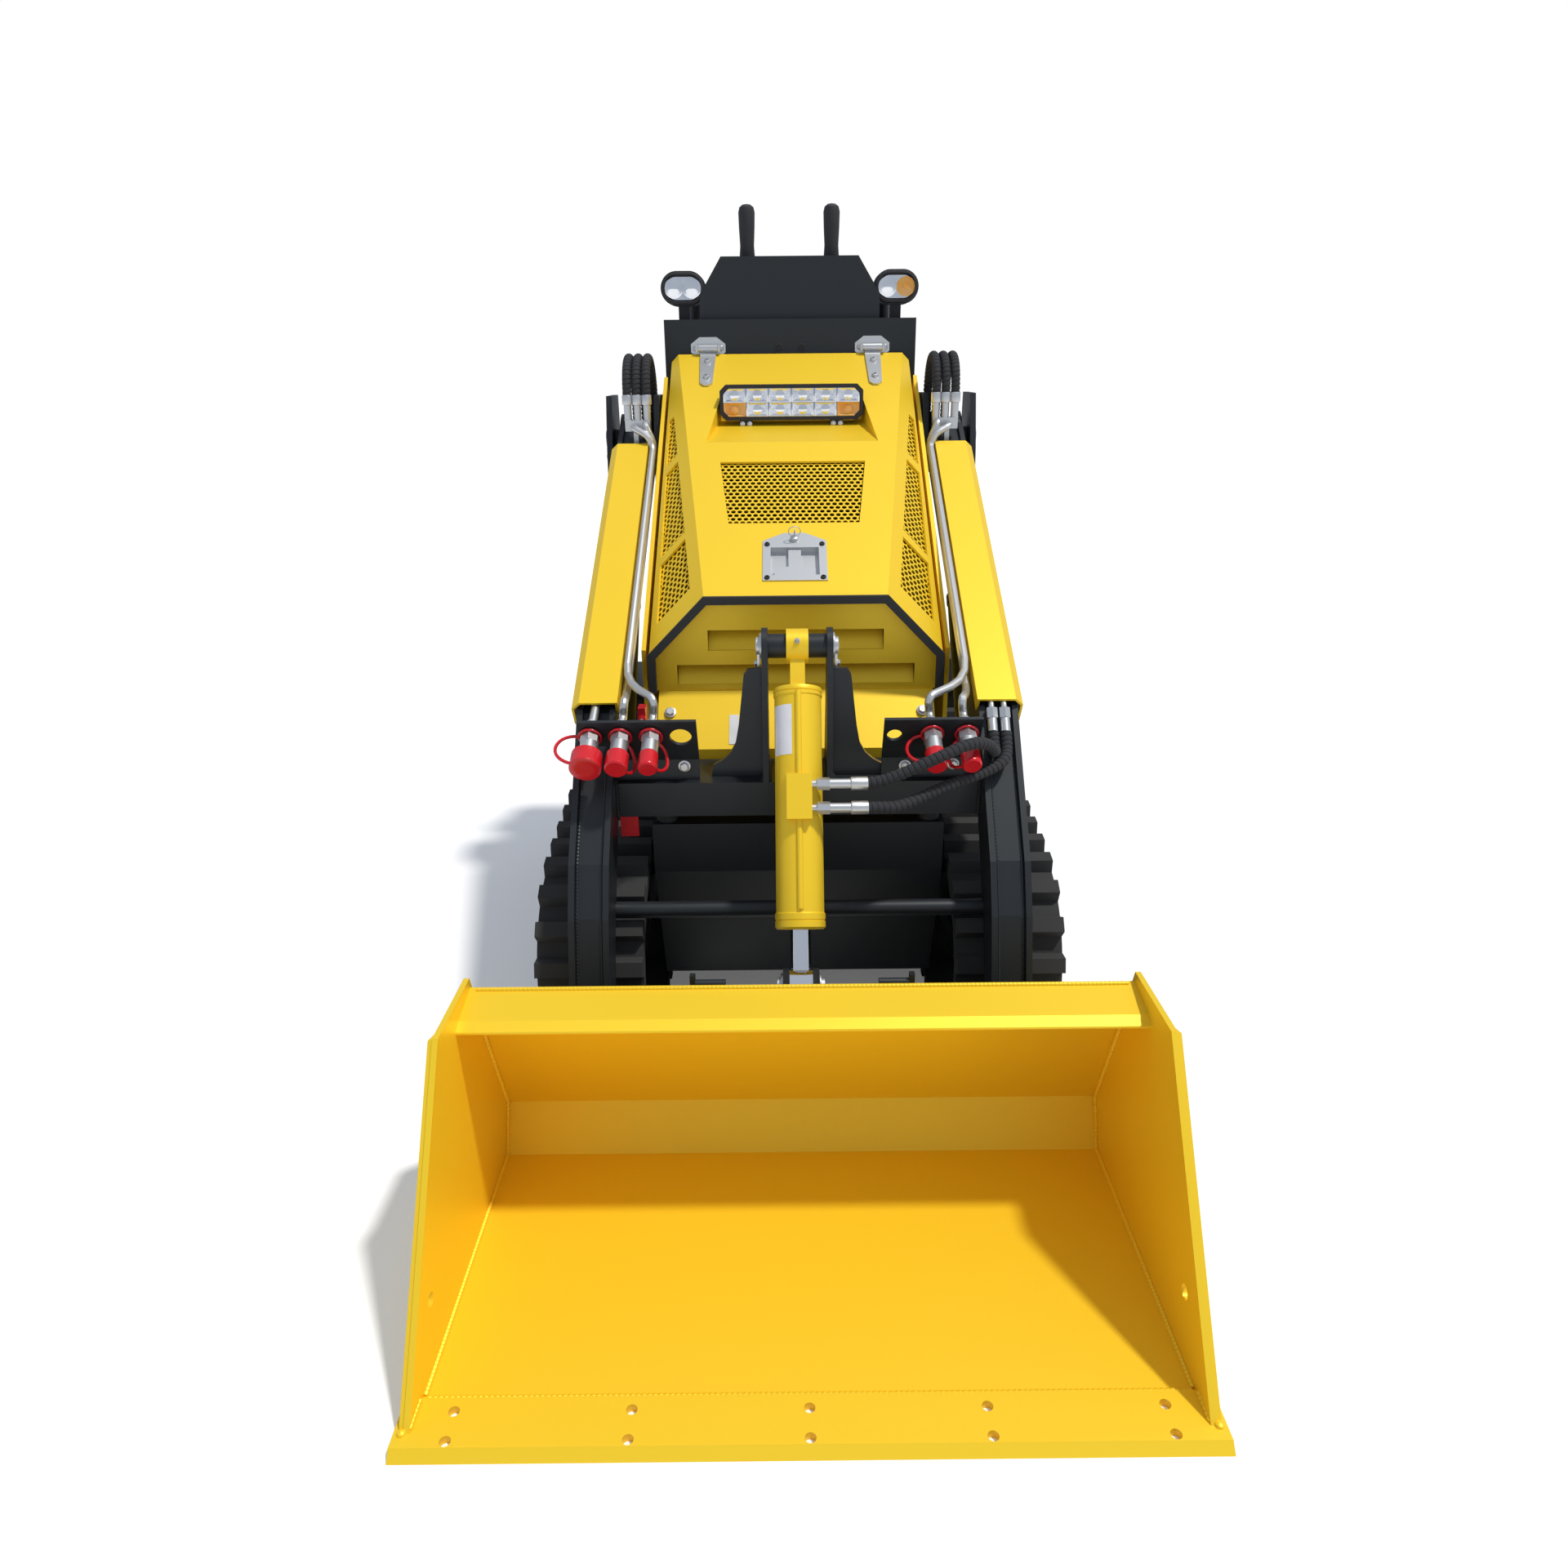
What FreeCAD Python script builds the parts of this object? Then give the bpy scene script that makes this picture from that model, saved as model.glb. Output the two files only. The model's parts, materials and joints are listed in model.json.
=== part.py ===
import FreeCAD
import Part
import math
import os

import Sketcher

Vector = FreeCAD.Vector

# Mini skid steer loader, stand-on, on rubber tracks, with its bucket on the ground.
# Frame: X to the right seen from the front, Y from the bucket's lip (low) to the
# operator's platform (high), Z up from the ground. Sizes are millimetres and degrees.
# Names that end in _y are distances behind the bucket's lip, and names that end in
# _z are heights above the ground.
SIZES = {
    "overall_length": 2200,
    # Bucket: a folded sheet between two side plates, on a bolted-edge blade.
    "bucket_width": 1000, "bucket_sheet": 6, "side_plate": 8, "side_overhang": 12,
    "blade_thickness": 12, "blade_depth": 78, "blade_bevel": 12,
    "blade_hole_radius": 7, "blade_hole_pitch": 217.5, "blade_hole_front_y": 20,
    "blade_hole_row": 39, "blade_hole_columns": 5,
    "heel_y": 520, "heel_rise_y": 556, "heel_rise_z": 82,
    "back_top_y": 449, "back_top_z": 361, "rim_y": 387, "rim_z": 350,
    "rim_lip_y": 372, "rim_lip_z": 343, "side_top_y": 304, "side_top_z": 382,
    "side_front_y": 30, "side_hole_radius": 10, "side_hole_y": 150, "side_hole_z": 95,
    # Pins of the loader linkage.
    "bucket_pivot_y": 600, "bucket_pivot_z": 148, "tilt_pin_y": 561, "tilt_pin_z": 293,
    "tilt_eye_y": 835, "tilt_eye_z": 768, "arm_pivot_y": 1600, "arm_pivot_z": 1045,
    "lift_base_y": 1050, "lift_base_z": 495, "lift_eye_y": 1400, "lift_eye_z": 915,
    "pin_radius": 15, "pin_gap": 0.3,
    # Arms: two side plates with a face plate let in between them, open underneath.
    "arm_inner": 305, "arm_outer": 370, "arm_plate": 10, "arm_face_plate": 10,
    "arm_face_inset": 6, "arm_boss_radius": 52, "arm_foot_radius": 42,
    "knee_y": 838, "knee_z": 661, "bend_y": 665, "bend_z": 455,
    "shin_y": 625, "shin_z": 377, "foot_y": 562, "foot_z": 190,
    "heel_back_y": 634, "heel_back_z": 205, "calf_y": 672, "calf_z": 310,
    "calf_bend_y": 732, "calf_bend_z": 402, "inner_knee_y": 846, "inner_knee_z": 563.5,
    "beam_depth": 92, "beam_top_rise": 55, "beam_top_end_y": 1575,
    "cross_y": 784, "cross_z": 488, "cross_depth": 114, "cross_height": 60,
    "tube_y": 706, "tube_z": 352, "tube_radius": 14,
    # Tilt cylinder.
    "ear_gap": 18.3, "ear_plate": 10, "attach_half_width": 388, "attach_sheet": 8,
    "tilt_barrel_radius": 38, "tilt_barrel_top": 74, "tilt_barrel_length": 385,
    "tilt_rod_radius": 16, "tilt_rod_tail": 62, "tilt_eye_radius": 28,
    "eye_half_width": 18, "neck_half_width": 12, "port_start": 219, "port_length": 72,
    "port_half_width": 20, "port_depth": 14, "port_pipe_radius": 5,
    "bracket_gap": 30, "wing_thickness": 10, "wing_inset": 30,
    # Lift cylinders.
    "lift_x": 337.5, "lift_barrel_radius": 27, "lift_barrel_length": 345,
    "lift_rod_radius": 15, "lift_rod_tail": 4, "lift_eye_radius": 26,
    # Yellow covers on the arms.
    "cover_sheet": 4, "cover_top_y": 1478, "cover_inner": 300.7, "cover_outer": 379,
    "cover_chamfer": 14, "cover_drop": 52, "cover_lift": 16,
    # Tracks: a belt round a low front idler, a low rear idler and a high sprocket.
    "track_inner": 262, "track_width": 180, "belt_thickness": 18, "lug_height": 22,
    "lug_count": 46, "idler_y": 850, "idler_radius": 200, "tail_y": 1590,
    "tail_radius": 105, "sprocket_y": 1690, "sprocket_z": 312, "sprocket_radius": 188,
    "wheel_gap": 0.3, "roller_radius": 58, "roller_count": 3, "axle_radius": 20,
    "frame_beam_height": 90, "track_frame_width": 76, "frame_plate": 8,
    "roller_front_y": 1062, "roller_rear_y": 1440, "wheel_dish": 22, "motor_radius": 55,
    # Chassis tub between the tracks, and the towers that carry the arms.
    "tub_half_width": 250, "tub_wall": 8, "tub_front_y": 800, "tail_gap": 25,
    "tub_bottom_z": 120, "tub_top_z": 466, "tub_nose": 90,
    "tower_inner": 283, "tower_outer": 385, "tower_plate": 12, "tower_front_y": 1440,
    "tower_rear_y": 1668, "tower_floor_z": 520, "tower_top_y": 1660,
    "tower_top_z": 1135, "lift_bracket_z": 440,
    "stop_radius": 18, "stop_x": 226, "stop_y": 824,
    # Engine, side panels, ledge and front panel.
    "engine_half_width": 180, "engine_front_y": 1150, "engine_rear_y": 1600,
    "engine_top_z": 720,
    "panel_outset": 20, "panel_sheet": 8, "panel_front_y": 1000,
    "panel_rear_y": 1640, "ledge_front_y": 905, "ledge_front_z": 564,
    "ledge_rear_y": 985, "ledge_rear_z": 646, "ledge_inset": 2, "sheet": 4,
    "grille_y": 990, "grille_half_width": 252, "slot_low_half": 214, "slot_low_z": 658,
    "slot_high_half": 157, "slot_high_z": 721, "slot_height": 37, "louvre_depth": 27,
    # Hood: a faceted shell hinged at its rear edge.
    "hood_front_y": 976, "hood_rear_y": 1664, "hood_front_z": 820,
    "hood_rear_z": 1217, "hood_half_width": 262, "hood_flat_front": 161,
    "hood_flat_rear": 247, "hood_shoulder_front_z": 717,
    "hood_edge_front_z": 650, "hood_edge_rear_z": 1040, "hood_sheet": 5,
    "hood_hinge_y": 1661, "hood_hinge_z": 1229, "hinge_x": 181, "hinge_half_width": 21,
    "hinge_radius": 8, "hinge_pin_radius": 4, "strap_length": 112, "strap_sheet": 4,
    "strap_half_width": 17, "strap_tip_half_width": 13.5, "leaf_half_width": 38,
    "leaf_low_z": 1207, "leaf_high_z": 1252, "trim_width": 14, "trim_depth": 9.7,
    # Windows in the hood, with perforated sheet under them.
    "window_front_y": 1152, "window_front_half": 122, "window_rear_y": 1318,
    "window_rear_half": 143, "window_lap": 8, "window_inset": 30, "grille_sheet": 2,
    "grille_pitch": 31, "grille_hole_radius": 10,
    # Wedge pocket in the hood, with the light bar standing in it.
    "pocket_front_y": 1376, "pocket_front_half": 173, "pocket_rear_y": 1522,
    "pocket_rear_half": 148, "pocket_rear_z": 1086, "light_y": 1478, "light_depth": 34,
    "light_half_width": 149, "light_low_z": 1087, "light_high_z": 1157, "light_corner": 12,
    "pocket_lead": 30, "light_rim": 7, "light_recess": 5, "light_foot_x": 95,
    "light_foot_width": 26,
    # Latch in the hood's top, with a tray and a paddle.
    "latch_half_width": 58, "latch_front_y": 1011, "latch_rear_y": 1105,
    "latch_tip_y": 1124, "tray_half_width": 46, "tray_front_y": 1021,
    "tray_rear_y": 1091, "tray_depth": 14, "tray_sheet": 2,
    # Console behind the hood.
    "console_half_width": 277, "console_front_y": 1674, "console_rear_y": 1890,
    "console_bottom_z": 520, "console_top_z": 1288, "console_wall": 5,
    "plate_bottom_half": 198, "plate_top_half": 150, "plate_height": 126,
    "plate_sheet": 6, "plate_y": 1700,
    "lever_x": 93, "lever_y": 1752, "lever_top_z": 1520, "lever_radius": 9,
    "grip_radius": 17, "grip_length": 125, "bar_y": 1815, "bar_z": 1345,
    "bar_radius": 13, "bar_half_width": 230,
    "lamp_x": 235, "lamp_y": 1710, "lamp_z": 1352, "lamp_half_width": 49,
    "lamp_half_height": 35, "lamp_depth": 45,
    # Operator's platform.
    "platform_reach": 275, "platform_z": 210, "platform_half_width": 230,
    "platform_sheet": 6, "platform_rim": 50, "platform_hinge_radius": 14,
    "platform_pin_radius": 8,
    # Coupler brackets: a foot on the crossmember and a flange that leans forward.
    "bracket_y": 800, "bracket_fold_z": 584, "bracket_sheet": 6, "flange_height": 86,
    "flange_lean": 25, "flange_hole_rise": 52, "coupler_rise": 57, "coupler_neck": 9,
    "coupler_radius": 14, "coupler_length": 44, "nut_radius": 14, "nut_length": 20,
    "cap_length": 34, "pipe_radius": 7, "pipe_x": 291, "pipe_pitch": 18,
    # Hose blocks on the arms, the hoses of the arms and those of the tilt cylinder.
    "hose_radius": 9.5, "hose_x": 305.5, "hose_pitch": 20,
    "hose_block_y": 1502, "hose_block_z": 1066, "hose_block_depth": 22,
    "hose_block_height": 22, "sleeve_radius": 8, "sleeve_length": 30,
    "bulkhead_y": 1740, "bulkhead_z": 985, "bulkhead_sheet": 6,
    # Safety lock bar, on the left, and the handles of the bucket's latches.
    "lock_x": 259, "lock_width": 13, "lock_y": 862, "lock_depth": 26, "lock_rise": 106,
    "lock_tab_x": 271, "lock_tab_width": 30, "lock_tab_drop": 36, "lock_tab_sheet": 8,
    "handle_x": 156, "handle_plate": 8, "handle_top_z": 372, "handle_z": 357,
    "handle_radius": 6, "handle_length": 44,
}

doc = FreeCAD.newDocument("mini_loader")
sheet = doc.addObject("Spreadsheet::Sheet", "Sizes")
for row, (alias, number) in enumerate(SIZES.items(), start=1):
    sheet.set("A%d" % row, alias)
    sheet.set("B%d" % row, str(number))
    sheet.setAlias("B%d" % row, alias)
doc.recompute()


class Size:
    """A number from the sheet, or one worked out from such numbers, with its text."""

    def __init__(self, value, text):
        self.value = float(value)
        self.text = text

    def join(self, sign, first, second, value):
        return Size(value, "(%s %s %s)" % (as_size(first).text, sign, as_size(second).text))

    def __add__(self, other):
        return self.join("+", self, other, self.value + as_size(other).value)

    def __radd__(self, other):
        return self.join("+", other, self, as_size(other).value + self.value)

    def __sub__(self, other):
        return self.join("-", self, other, self.value - as_size(other).value)

    def __rsub__(self, other):
        return self.join("-", other, self, as_size(other).value - self.value)

    def __mul__(self, other):
        return self.join("*", self, other, self.value * as_size(other).value)

    def __rmul__(self, other):
        return self.join("*", other, self, as_size(other).value * self.value)

    def __truediv__(self, other):
        return self.join("/", self, other, self.value / as_size(other).value)

    def __neg__(self):
        return Size(-self.value, "(0 - %s)" % self.text)

    def __float__(self):
        return self.value


def as_size(number):
    if isinstance(number, Size):
        return number
    return Size(number, repr(float(number)))


class Names:
    """The sheet's sizes as attributes: s.arm_inner is the size of that alias."""

    def __getattr__(self, alias):
        return Size(sheet.get(alias), "Sizes." + alias)


s = Names()
lip = -s.overall_length / 2


def behind(size):
    """The Y of a place that lies this far behind the bucket's lip."""
    return lip + size


def bind(target, path, size):
    target.setExpression(path, as_size(size).text)


def name_of(label, part):
    return "%s_%s" % (label, part)


# Planes of a flat outline: how it is turned, and the axis that it stands on.
TURN = {
    "side": (FreeCAD.Rotation(Vector(1, 1, 1), 120), "x", 1),
    "front": (FreeCAD.Rotation(Vector(1, 0, 0), 90), "y", -1),
    "plan": (FreeCAD.Rotation(), "z", 1),
}


def outline(label, plane, points, start, closed=True, circles=()):
    """A sketch of straight lines and circles, every point bound to the sheet."""
    sketch = doc.addObject("Sketcher::SketchObject", name_of(label, "outline"))
    turn, axis, way = TURN[plane]
    sketch.Placement = FreeCAD.Placement(Vector(), turn)
    bind(sketch, "Placement.Base." + axis, start)
    corners = [(float(u), float(v)) for u, v in points]
    count = len(corners) if closed else len(corners) - 1
    for index in range(count):
        first = corners[index]
        second = corners[(index + 1) % len(corners)]
        sketch.addGeometry(Part.LineSegment(Vector(*first, 0), Vector(*second, 0)))
    for index in range(count if closed else count - 1):
        following = (index + 1) % count
        sketch.addConstraint(Sketcher.Constraint("Coincident", index, 2, following, 1))
    for index, (u, v) in enumerate(points):
        line, end = (index, 1) if index < count else (index - 1, 2)
        hold(sketch, line, end, u, v)
    for u, v, radius in circles:
        centre = Vector(float(u), float(v), 0)
        circle = sketch.addGeometry(Part.Circle(centre, Vector(0, 0, 1), float(radius)))
        hold(sketch, circle, 3, u, v)
        number = sketch.addConstraint(Sketcher.Constraint("Radius", circle, float(radius)))
        bind(sketch, "Constraints[%d]" % number, radius)
    return sketch


def hold(sketch, line, end, u, v):
    """Holds a point of a sketch at two bound distances from its origin."""
    for kind, size in (("DistanceX", u), ("DistanceY", v)):
        rule = Sketcher.Constraint(kind, -1, 1, line, end, float(size))
        number = sketch.addConstraint(rule)
        bind(sketch, "Constraints[%d]" % number, size)


def plate(label, plane, points, start, end, circles=()):
    """A flat plate: an outline with its holes, from start to end along its axis."""
    way = TURN[plane][2]
    first = start if way > 0 else end
    sketch = outline(label, plane, points, first, True, circles)
    return thicken(label, sketch, end - start)


def thicken(label, base, length):
    solid = doc.addObject("Part::Extrusion", label)
    solid.Base = base
    solid.DirMode = "Normal"
    bind(solid, "LengthFwd", length)
    solid.Solid = True
    return solid


def folded(label, points, thickness, start, end):
    """A folded sheet: its middle line in side view, made as thick as the sheet."""
    sketch = outline(label, "side", points, start, closed=False)
    strip = doc.addObject("Part::Offset2D", name_of(label, "strip"))
    strip.Source = sketch
    strip.Fill = True
    strip.Join = "Intersection"
    bind(strip, "Value", thickness / 2)
    return thicken(label, strip, end - start)


def block(label, x, y, z):
    """A box between two places on each axis."""
    solid = doc.addObject("Part::Box", label)
    for axis, side, (low, high) in zip("xyz", ("Length", "Width", "Height"), (x, y, z)):
        bind(solid, "Placement.Base." + axis, low)
        bind(solid, side, as_size(high) - low)
    return solid


AXIS_TURN = {
    "x": FreeCAD.Rotation(Vector(0, 1, 0), 90),
    "y": FreeCAD.Rotation(Vector(1, 0, 0), -90),
    "z": FreeCAD.Rotation(),
}


def cylinder(label, axis, centre, radius, start, end):
    """A round bar along an axis; centre is its place on the two other axes."""
    solid = doc.addObject("Part::Cylinder", label)
    solid.Placement = FreeCAD.Placement(Vector(), AXIS_TURN[axis])
    others = [name for name in "xyz" if name != axis]
    for name, place in zip(others, centre):
        bind(solid, "Placement.Base." + name, place)
    bind(solid, "Placement.Base." + axis, start)
    bind(solid, "Radius", radius)
    bind(solid, "Height", as_size(end) - start)
    return solid


def fuse(label, solids):
    whole = doc.addObject("Part::MultiFuse", label)
    whole.Shapes = solids
    return whole


def cut(label, base, tool):
    rest = doc.addObject("Part::Cut", label)
    rest.Base = base
    rest.Tool = tool
    return rest


def gather(label, solids):
    """Like pieces that don't touch, kept together as one sub-part."""
    group = doc.addObject("Part::Compound", label)
    group.Links = solids
    return group


def mirrored(label, solid):
    twin = doc.addObject("Part::Mirroring", label)
    twin.Source = solid
    twin.Normal = Vector(1, 0, 0)
    return twin


def both_sides(label, solid):
    return gather(label, [solid, mirrored(name_of(label, "twin"), solid)])


def made(label, shape):
    """A sub-part whose shape is worked out in code from the sheet's sizes."""
    feature = doc.addObject("Part::Feature", label)
    feature.Shape = shape
    return feature


def point(x, y, z):
    return Vector(float(x), float(y), float(z))


def rod_between(radius, first, last):
    """A round bar between two points."""
    run = last - first
    return Part.makeCylinder(float(radius), run.Length, first, run)


def across(way):
    """Two directions square to this one, the first of them level where it can be."""
    side = Vector(1, 0, 0) if abs(way.x) < 0.5 * way.Length else Vector(0, 0, 1)
    deep = way.cross(side)
    deep.normalize()
    side = deep.cross(way)
    side.normalize()
    return side, deep


def face_between(corners, first, last):
    """A straight bar from one point to another with these corners as its section."""
    side, deep = across(last - first)
    loop = [first + side * float(u) + deep * float(v) for u, v in corners]
    return Part.Face(Part.makePolygon(loop + loop[:1])).extrude(last - first)


def flat_bar(half_width, half_depth, first, last):
    wide, deep = float(half_width), float(half_depth)
    corners = [(-wide, -deep), (wide, -deep), (wide, deep), (-wide, deep)]
    return face_between(corners, first, last)


def hexagon(radius):
    turns = [math.radians(60 * number + 30) for number in range(6)]
    return [(float(radius) * math.cos(turn), float(radius) * math.sin(turn)) for turn in turns]


def nut(radius, first, last):
    return face_between(hexagon(radius), first, last)


def slab(corners, low, high):
    """A plate on a flat face given by its corners, between two heights above it."""
    normal = (corners[1] - corners[0]).cross(corners[2] - corners[1])
    normal.normalize()
    normal = normal * math.copysign(1, normal.z)
    loop = [corner + normal * float(low) for corner in corners]
    return Part.Face(Part.makePolygon(loop + loop[:1])).extrude(normal * float(high - low))


def perforated(corners, low, high, pitch, radius):
    """The same plate with staggered rows of six-sided holes clear of its edges."""
    pitch, radius = float(pitch), float(radius)
    plain = slab(corners, low, high)
    normal = (corners[1] - corners[0]).cross(corners[2] - corners[1])
    normal.normalize()
    normal = normal * math.copysign(1, normal.z)
    side = corners[1] - corners[0]
    side.normalize()
    onward = normal.cross(side)
    flat = [((corner - corners[0]).dot(side), (corner - corners[0]).dot(onward))
            for corner in corners]
    row_pitch = pitch * math.sqrt(3) / 2
    low_v, high_v = min(v for u, v in flat), max(v for u, v in flat)
    low_u, high_u = min(u for u, v in flat), max(u for u, v in flat)
    rows = int((high_v - low_v - 2 * radius) / row_pitch)
    first_v = (low_v + high_v - rows * row_pitch) / 2
    columns = int((high_u - low_u) / pitch) + 2
    holes = []
    for row in range(rows + 1):
        v = first_v + row * row_pitch
        for column in range(-columns, columns):
            u = (low_u + high_u) / 2 + pitch * (column + 0.5 * (row % 2))
            if clear_inside(flat, u, v, radius * 1.3):
                middle = corners[0] + side * u + onward * v + normal * float(low)
                loop = [middle + side * x + onward * y for x, y in hexagon(radius)]
                holes.append(Part.makePolygon(loop + loop[:1]))
    edge = [corner + normal * float(low) for corner in corners]
    face = Part.makeFace([Part.makePolygon(edge + edge[:1])] + holes,
                         "Part::FaceMakerBullseye")
    return face.extrude(normal * float(high - low)) if holes else plain


def clear_inside(corners, u, v, margin):
    """Tells if a point lies inside a convex outline by at least this margin."""
    turns = []
    for (first_u, first_v), (last_u, last_v) in zip(corners, corners[1:] + corners[:1]):
        length = math.hypot(last_u - first_u, last_v - first_v)
        turns.append(((last_u - first_u) * (v - first_v) - (last_v - first_v) * (u - first_u))
                     / length)
    return min(turns) >= margin or max(turns) <= -margin


def smooth_path(points, share=0.45):
    """Points of straight runs joined by tangent arcs, as chords of about 18 degrees each.

    Each arc is as large as its two runs allow.
    """
    line = [points[0]]
    for before, corner, after in zip(points, points[1:], points[2:]):
        back = before - corner
        ahead = after - corner
        length = share * min(back.Length, ahead.Length)
        back.normalize()
        ahead.normalize()
        turn = math.pi - back.getAngle(ahead)
        radius = length / math.tan(turn / 2)
        middle_way = back + ahead
        middle_way.normalize()
        centre = corner + middle_way * (radius / math.cos(turn / 2))
        ray = corner + back * length - centre
        chords = max(2, math.ceil(math.degrees(turn) / 18))
        for number in range(chords + 1):
            angle = turn * number / chords
            line.append(centre + ray * math.cos(angle) - back * (radius * math.sin(angle)))
    return line + [points[-1]]


def tube(radius, points, sides=12):
    """A tube along straight runs and bends, its section a polygon to save facets."""
    line = smooth_path(points)
    side, deep = across(line[1] - line[0])
    turns = [2 * math.pi * number / sides for number in range(sides)]
    loop = [line[0] + side * (float(radius) * math.cos(turn))
            + deep * (float(radius) * math.sin(turn)) for turn in turns]
    rings = [loop]
    for before, corner, after in zip(line, line[1:], line[2:] + [None]):
        run = corner - before
        run.normalize()
        normal = run
        if after is not None:
            ahead = after - corner
            ahead.normalize()
            normal = run + ahead
        loop = [place + run * ((corner - place).dot(normal) / run.dot(normal)) for place in loop]
        rings.append(loop)
    return Part.makeLoft([Part.makePolygon(ring + ring[:1]) for ring in rings], True, True)


NODES = []


def node(label, feature):
    """Marks a feature as a finished sub-part of that name."""
    feature.Label = label
    NODES.append((label, feature))
    return feature


# Bucket.
def make_bucket():
    half = s.bucket_width / 2
    side_out = half - s.side_overhang
    side_in = side_out - s.side_plate
    mid = s.bucket_sheet / 2
    floor = [(behind(s.blade_depth) + mid, mid), (behind(s.heel_y), mid),
             (behind(s.heel_rise_y) + mid, s.heel_rise_z),
             (behind(s.back_top_y) + mid, s.back_top_z),
             (behind(s.rim_y), s.rim_z), (behind(s.rim_lip_y), s.rim_lip_z)]
    node("bucket_shell", folded("shell", floor, s.bucket_sheet, -side_in, side_in))

    side = [(behind(s.side_front_y), s.blade_thickness),
            (behind(s.side_top_y), s.side_top_z),
            (behind(s.back_top_y) + s.bucket_sheet, s.side_top_z - mid),
            (behind(s.back_top_y) + s.bucket_sheet * 2, s.back_top_z),
            (behind(s.heel_rise_y) + s.bucket_sheet, s.heel_rise_z),
            (behind(s.heel_y) + mid, 0), (behind(s.blade_depth), 0),
            (behind(s.blade_depth), s.blade_thickness)]
    hole = [(behind(s.side_hole_y), s.side_hole_z, s.side_hole_radius)]
    right = plate("bucket_side", "side", side, side_in, side_out, hole)
    node("bucket_sides", both_sides("bucket_side_pair", right))

    blade = [(lip, 0), (behind(s.blade_depth), 0),
             (behind(s.blade_depth), s.blade_thickness),
             (behind(s.blade_bevel), s.blade_thickness)]
    edge = plate("blade", "side", blade, -half, half)
    holes = []
    columns = int(s.blade_hole_columns.value)
    for row in range(2):
        for column in range(columns):
            x = s.blade_hole_pitch * (column - (columns - 1) / 2)
            y = behind(s.blade_hole_front_y) + s.blade_hole_row * row
            label = "blade_hole_%d_%d" % (row, column)
            holes.append(cylinder(label, "z", (x, y), s.blade_hole_radius,
                                  -1, s.blade_thickness + 1))
    node("cutting_edge", cut("drilled_blade", edge, fuse("blade_holes", holes)))


def make_attach_plate():
    """The quick-attach plate behind the bucket, with its pivot and cylinder ears."""
    lean = (s.heel_rise_y - s.back_top_y) / (s.back_top_z - s.heel_rise_z)
    low_rise = 14
    rise = s.back_top_z - s.heel_rise_z - 40
    wall_back = behind(s.heel_rise_y) + s.bucket_sheet * 1.04 + s.pin_gap
    low = (wall_back - lean * low_rise, s.heel_rise_z + low_rise)
    high = (low[0] - lean * rise, low[1] + rise)
    thick = s.attach_sheet * 1.07
    leaning = [low, high, (high[0] + thick, high[1]), (low[0] + thick, low[1])]
    back = plate("attach_back", "side", leaning, -s.attach_half_width, s.attach_half_width)
    solids = [back]
    for side in (-1, 1):
        for place, x in (("out", s.arm_outer + s.pin_gap),
                         ("in", s.arm_inner - s.pin_gap - s.ear_plate)):
            start = x if side > 0 else -(x + s.ear_plate)
            label = "pivot_ear_%s_%d" % (place, side + 1)
            solids.append(pin_ear(label, start, s.bucket_pivot_y, s.bucket_pivot_z,
                              s.arm_foot_radius - 4, low, high, 0.02, 0.45))
        start = s.ear_gap if side > 0 else -(s.ear_gap + s.ear_plate)
        solids.append(pin_ear("tilt_ear_%d" % (side + 1), start, s.tilt_pin_y, s.tilt_pin_z,
                          s.tilt_eye_radius, low, high, 0.5, 0.95))
    for side in (-1, 1):
        inner = s.handle_x * side
        start = inner if side > 0 else inner - s.handle_plate
        label = "handle_%d" % (side + 1)
        solids.append(block(label + "_tab", (start, start + s.handle_plate),
                            (high[0], high[0] + thick), (high[1] - 2, s.handle_top_z)))
        bar = sorted((inner, inner - s.handle_length * side), key=float)
        solids.append(cylinder(label + "_bar", "x", (high[0] + thick / 2, s.handle_z),
                               s.handle_radius, bar[0], bar[1]))
    node("attach_plate", fuse("attach_whole", solids))


def pin_ear(label, start, pin_y, pin_z, radius, low, high, first, last):
    """An ear from the attach plate's back to a pin, tapered to a round end."""
    run_y = high[0] - low[0]
    run_z = high[1] - low[1]
    foot = (low[0] + run_y * first, low[1] + run_z * first)
    head = (low[0] + run_y * last, low[1] + run_z * last)
    tip_y = behind(pin_y)
    points = [foot, (tip_y, pin_z - radius), (tip_y, pin_z + radius), head]
    web = plate(label, "side", points, start, start + s.ear_plate)
    boss = cylinder(name_of(label, "boss"), "x", (tip_y, pin_z), radius, start,
                    start + s.ear_plate)
    return fuse(name_of(label, "ear"), [web, boss])


# Arms.
def arm_profile():
    """The arm's side view: beam, knee, slanted front and foot."""
    knee = (behind(s.knee_y), s.knee_z)
    rise = beam_slope() * (s.beam_top_end_y - s.knee_y)
    top_end = (behind(s.beam_top_end_y), s.knee_z + rise)
    low_end = (behind(s.beam_top_end_y), top_end[1] - s.beam_depth * 1.155)
    return [top_end, knee, (behind(s.bend_y), s.bend_z), (behind(s.shin_y), s.shin_z),
            (behind(s.foot_y), s.foot_z), (behind(s.bucket_pivot_y), s.bucket_pivot_z),
            (behind(s.heel_back_y), s.heel_back_z), (behind(s.calf_y), s.calf_z),
            (behind(s.calf_bend_y), s.calf_bend_z),
            (behind(s.inner_knee_y), s.inner_knee_z), low_end]


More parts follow.
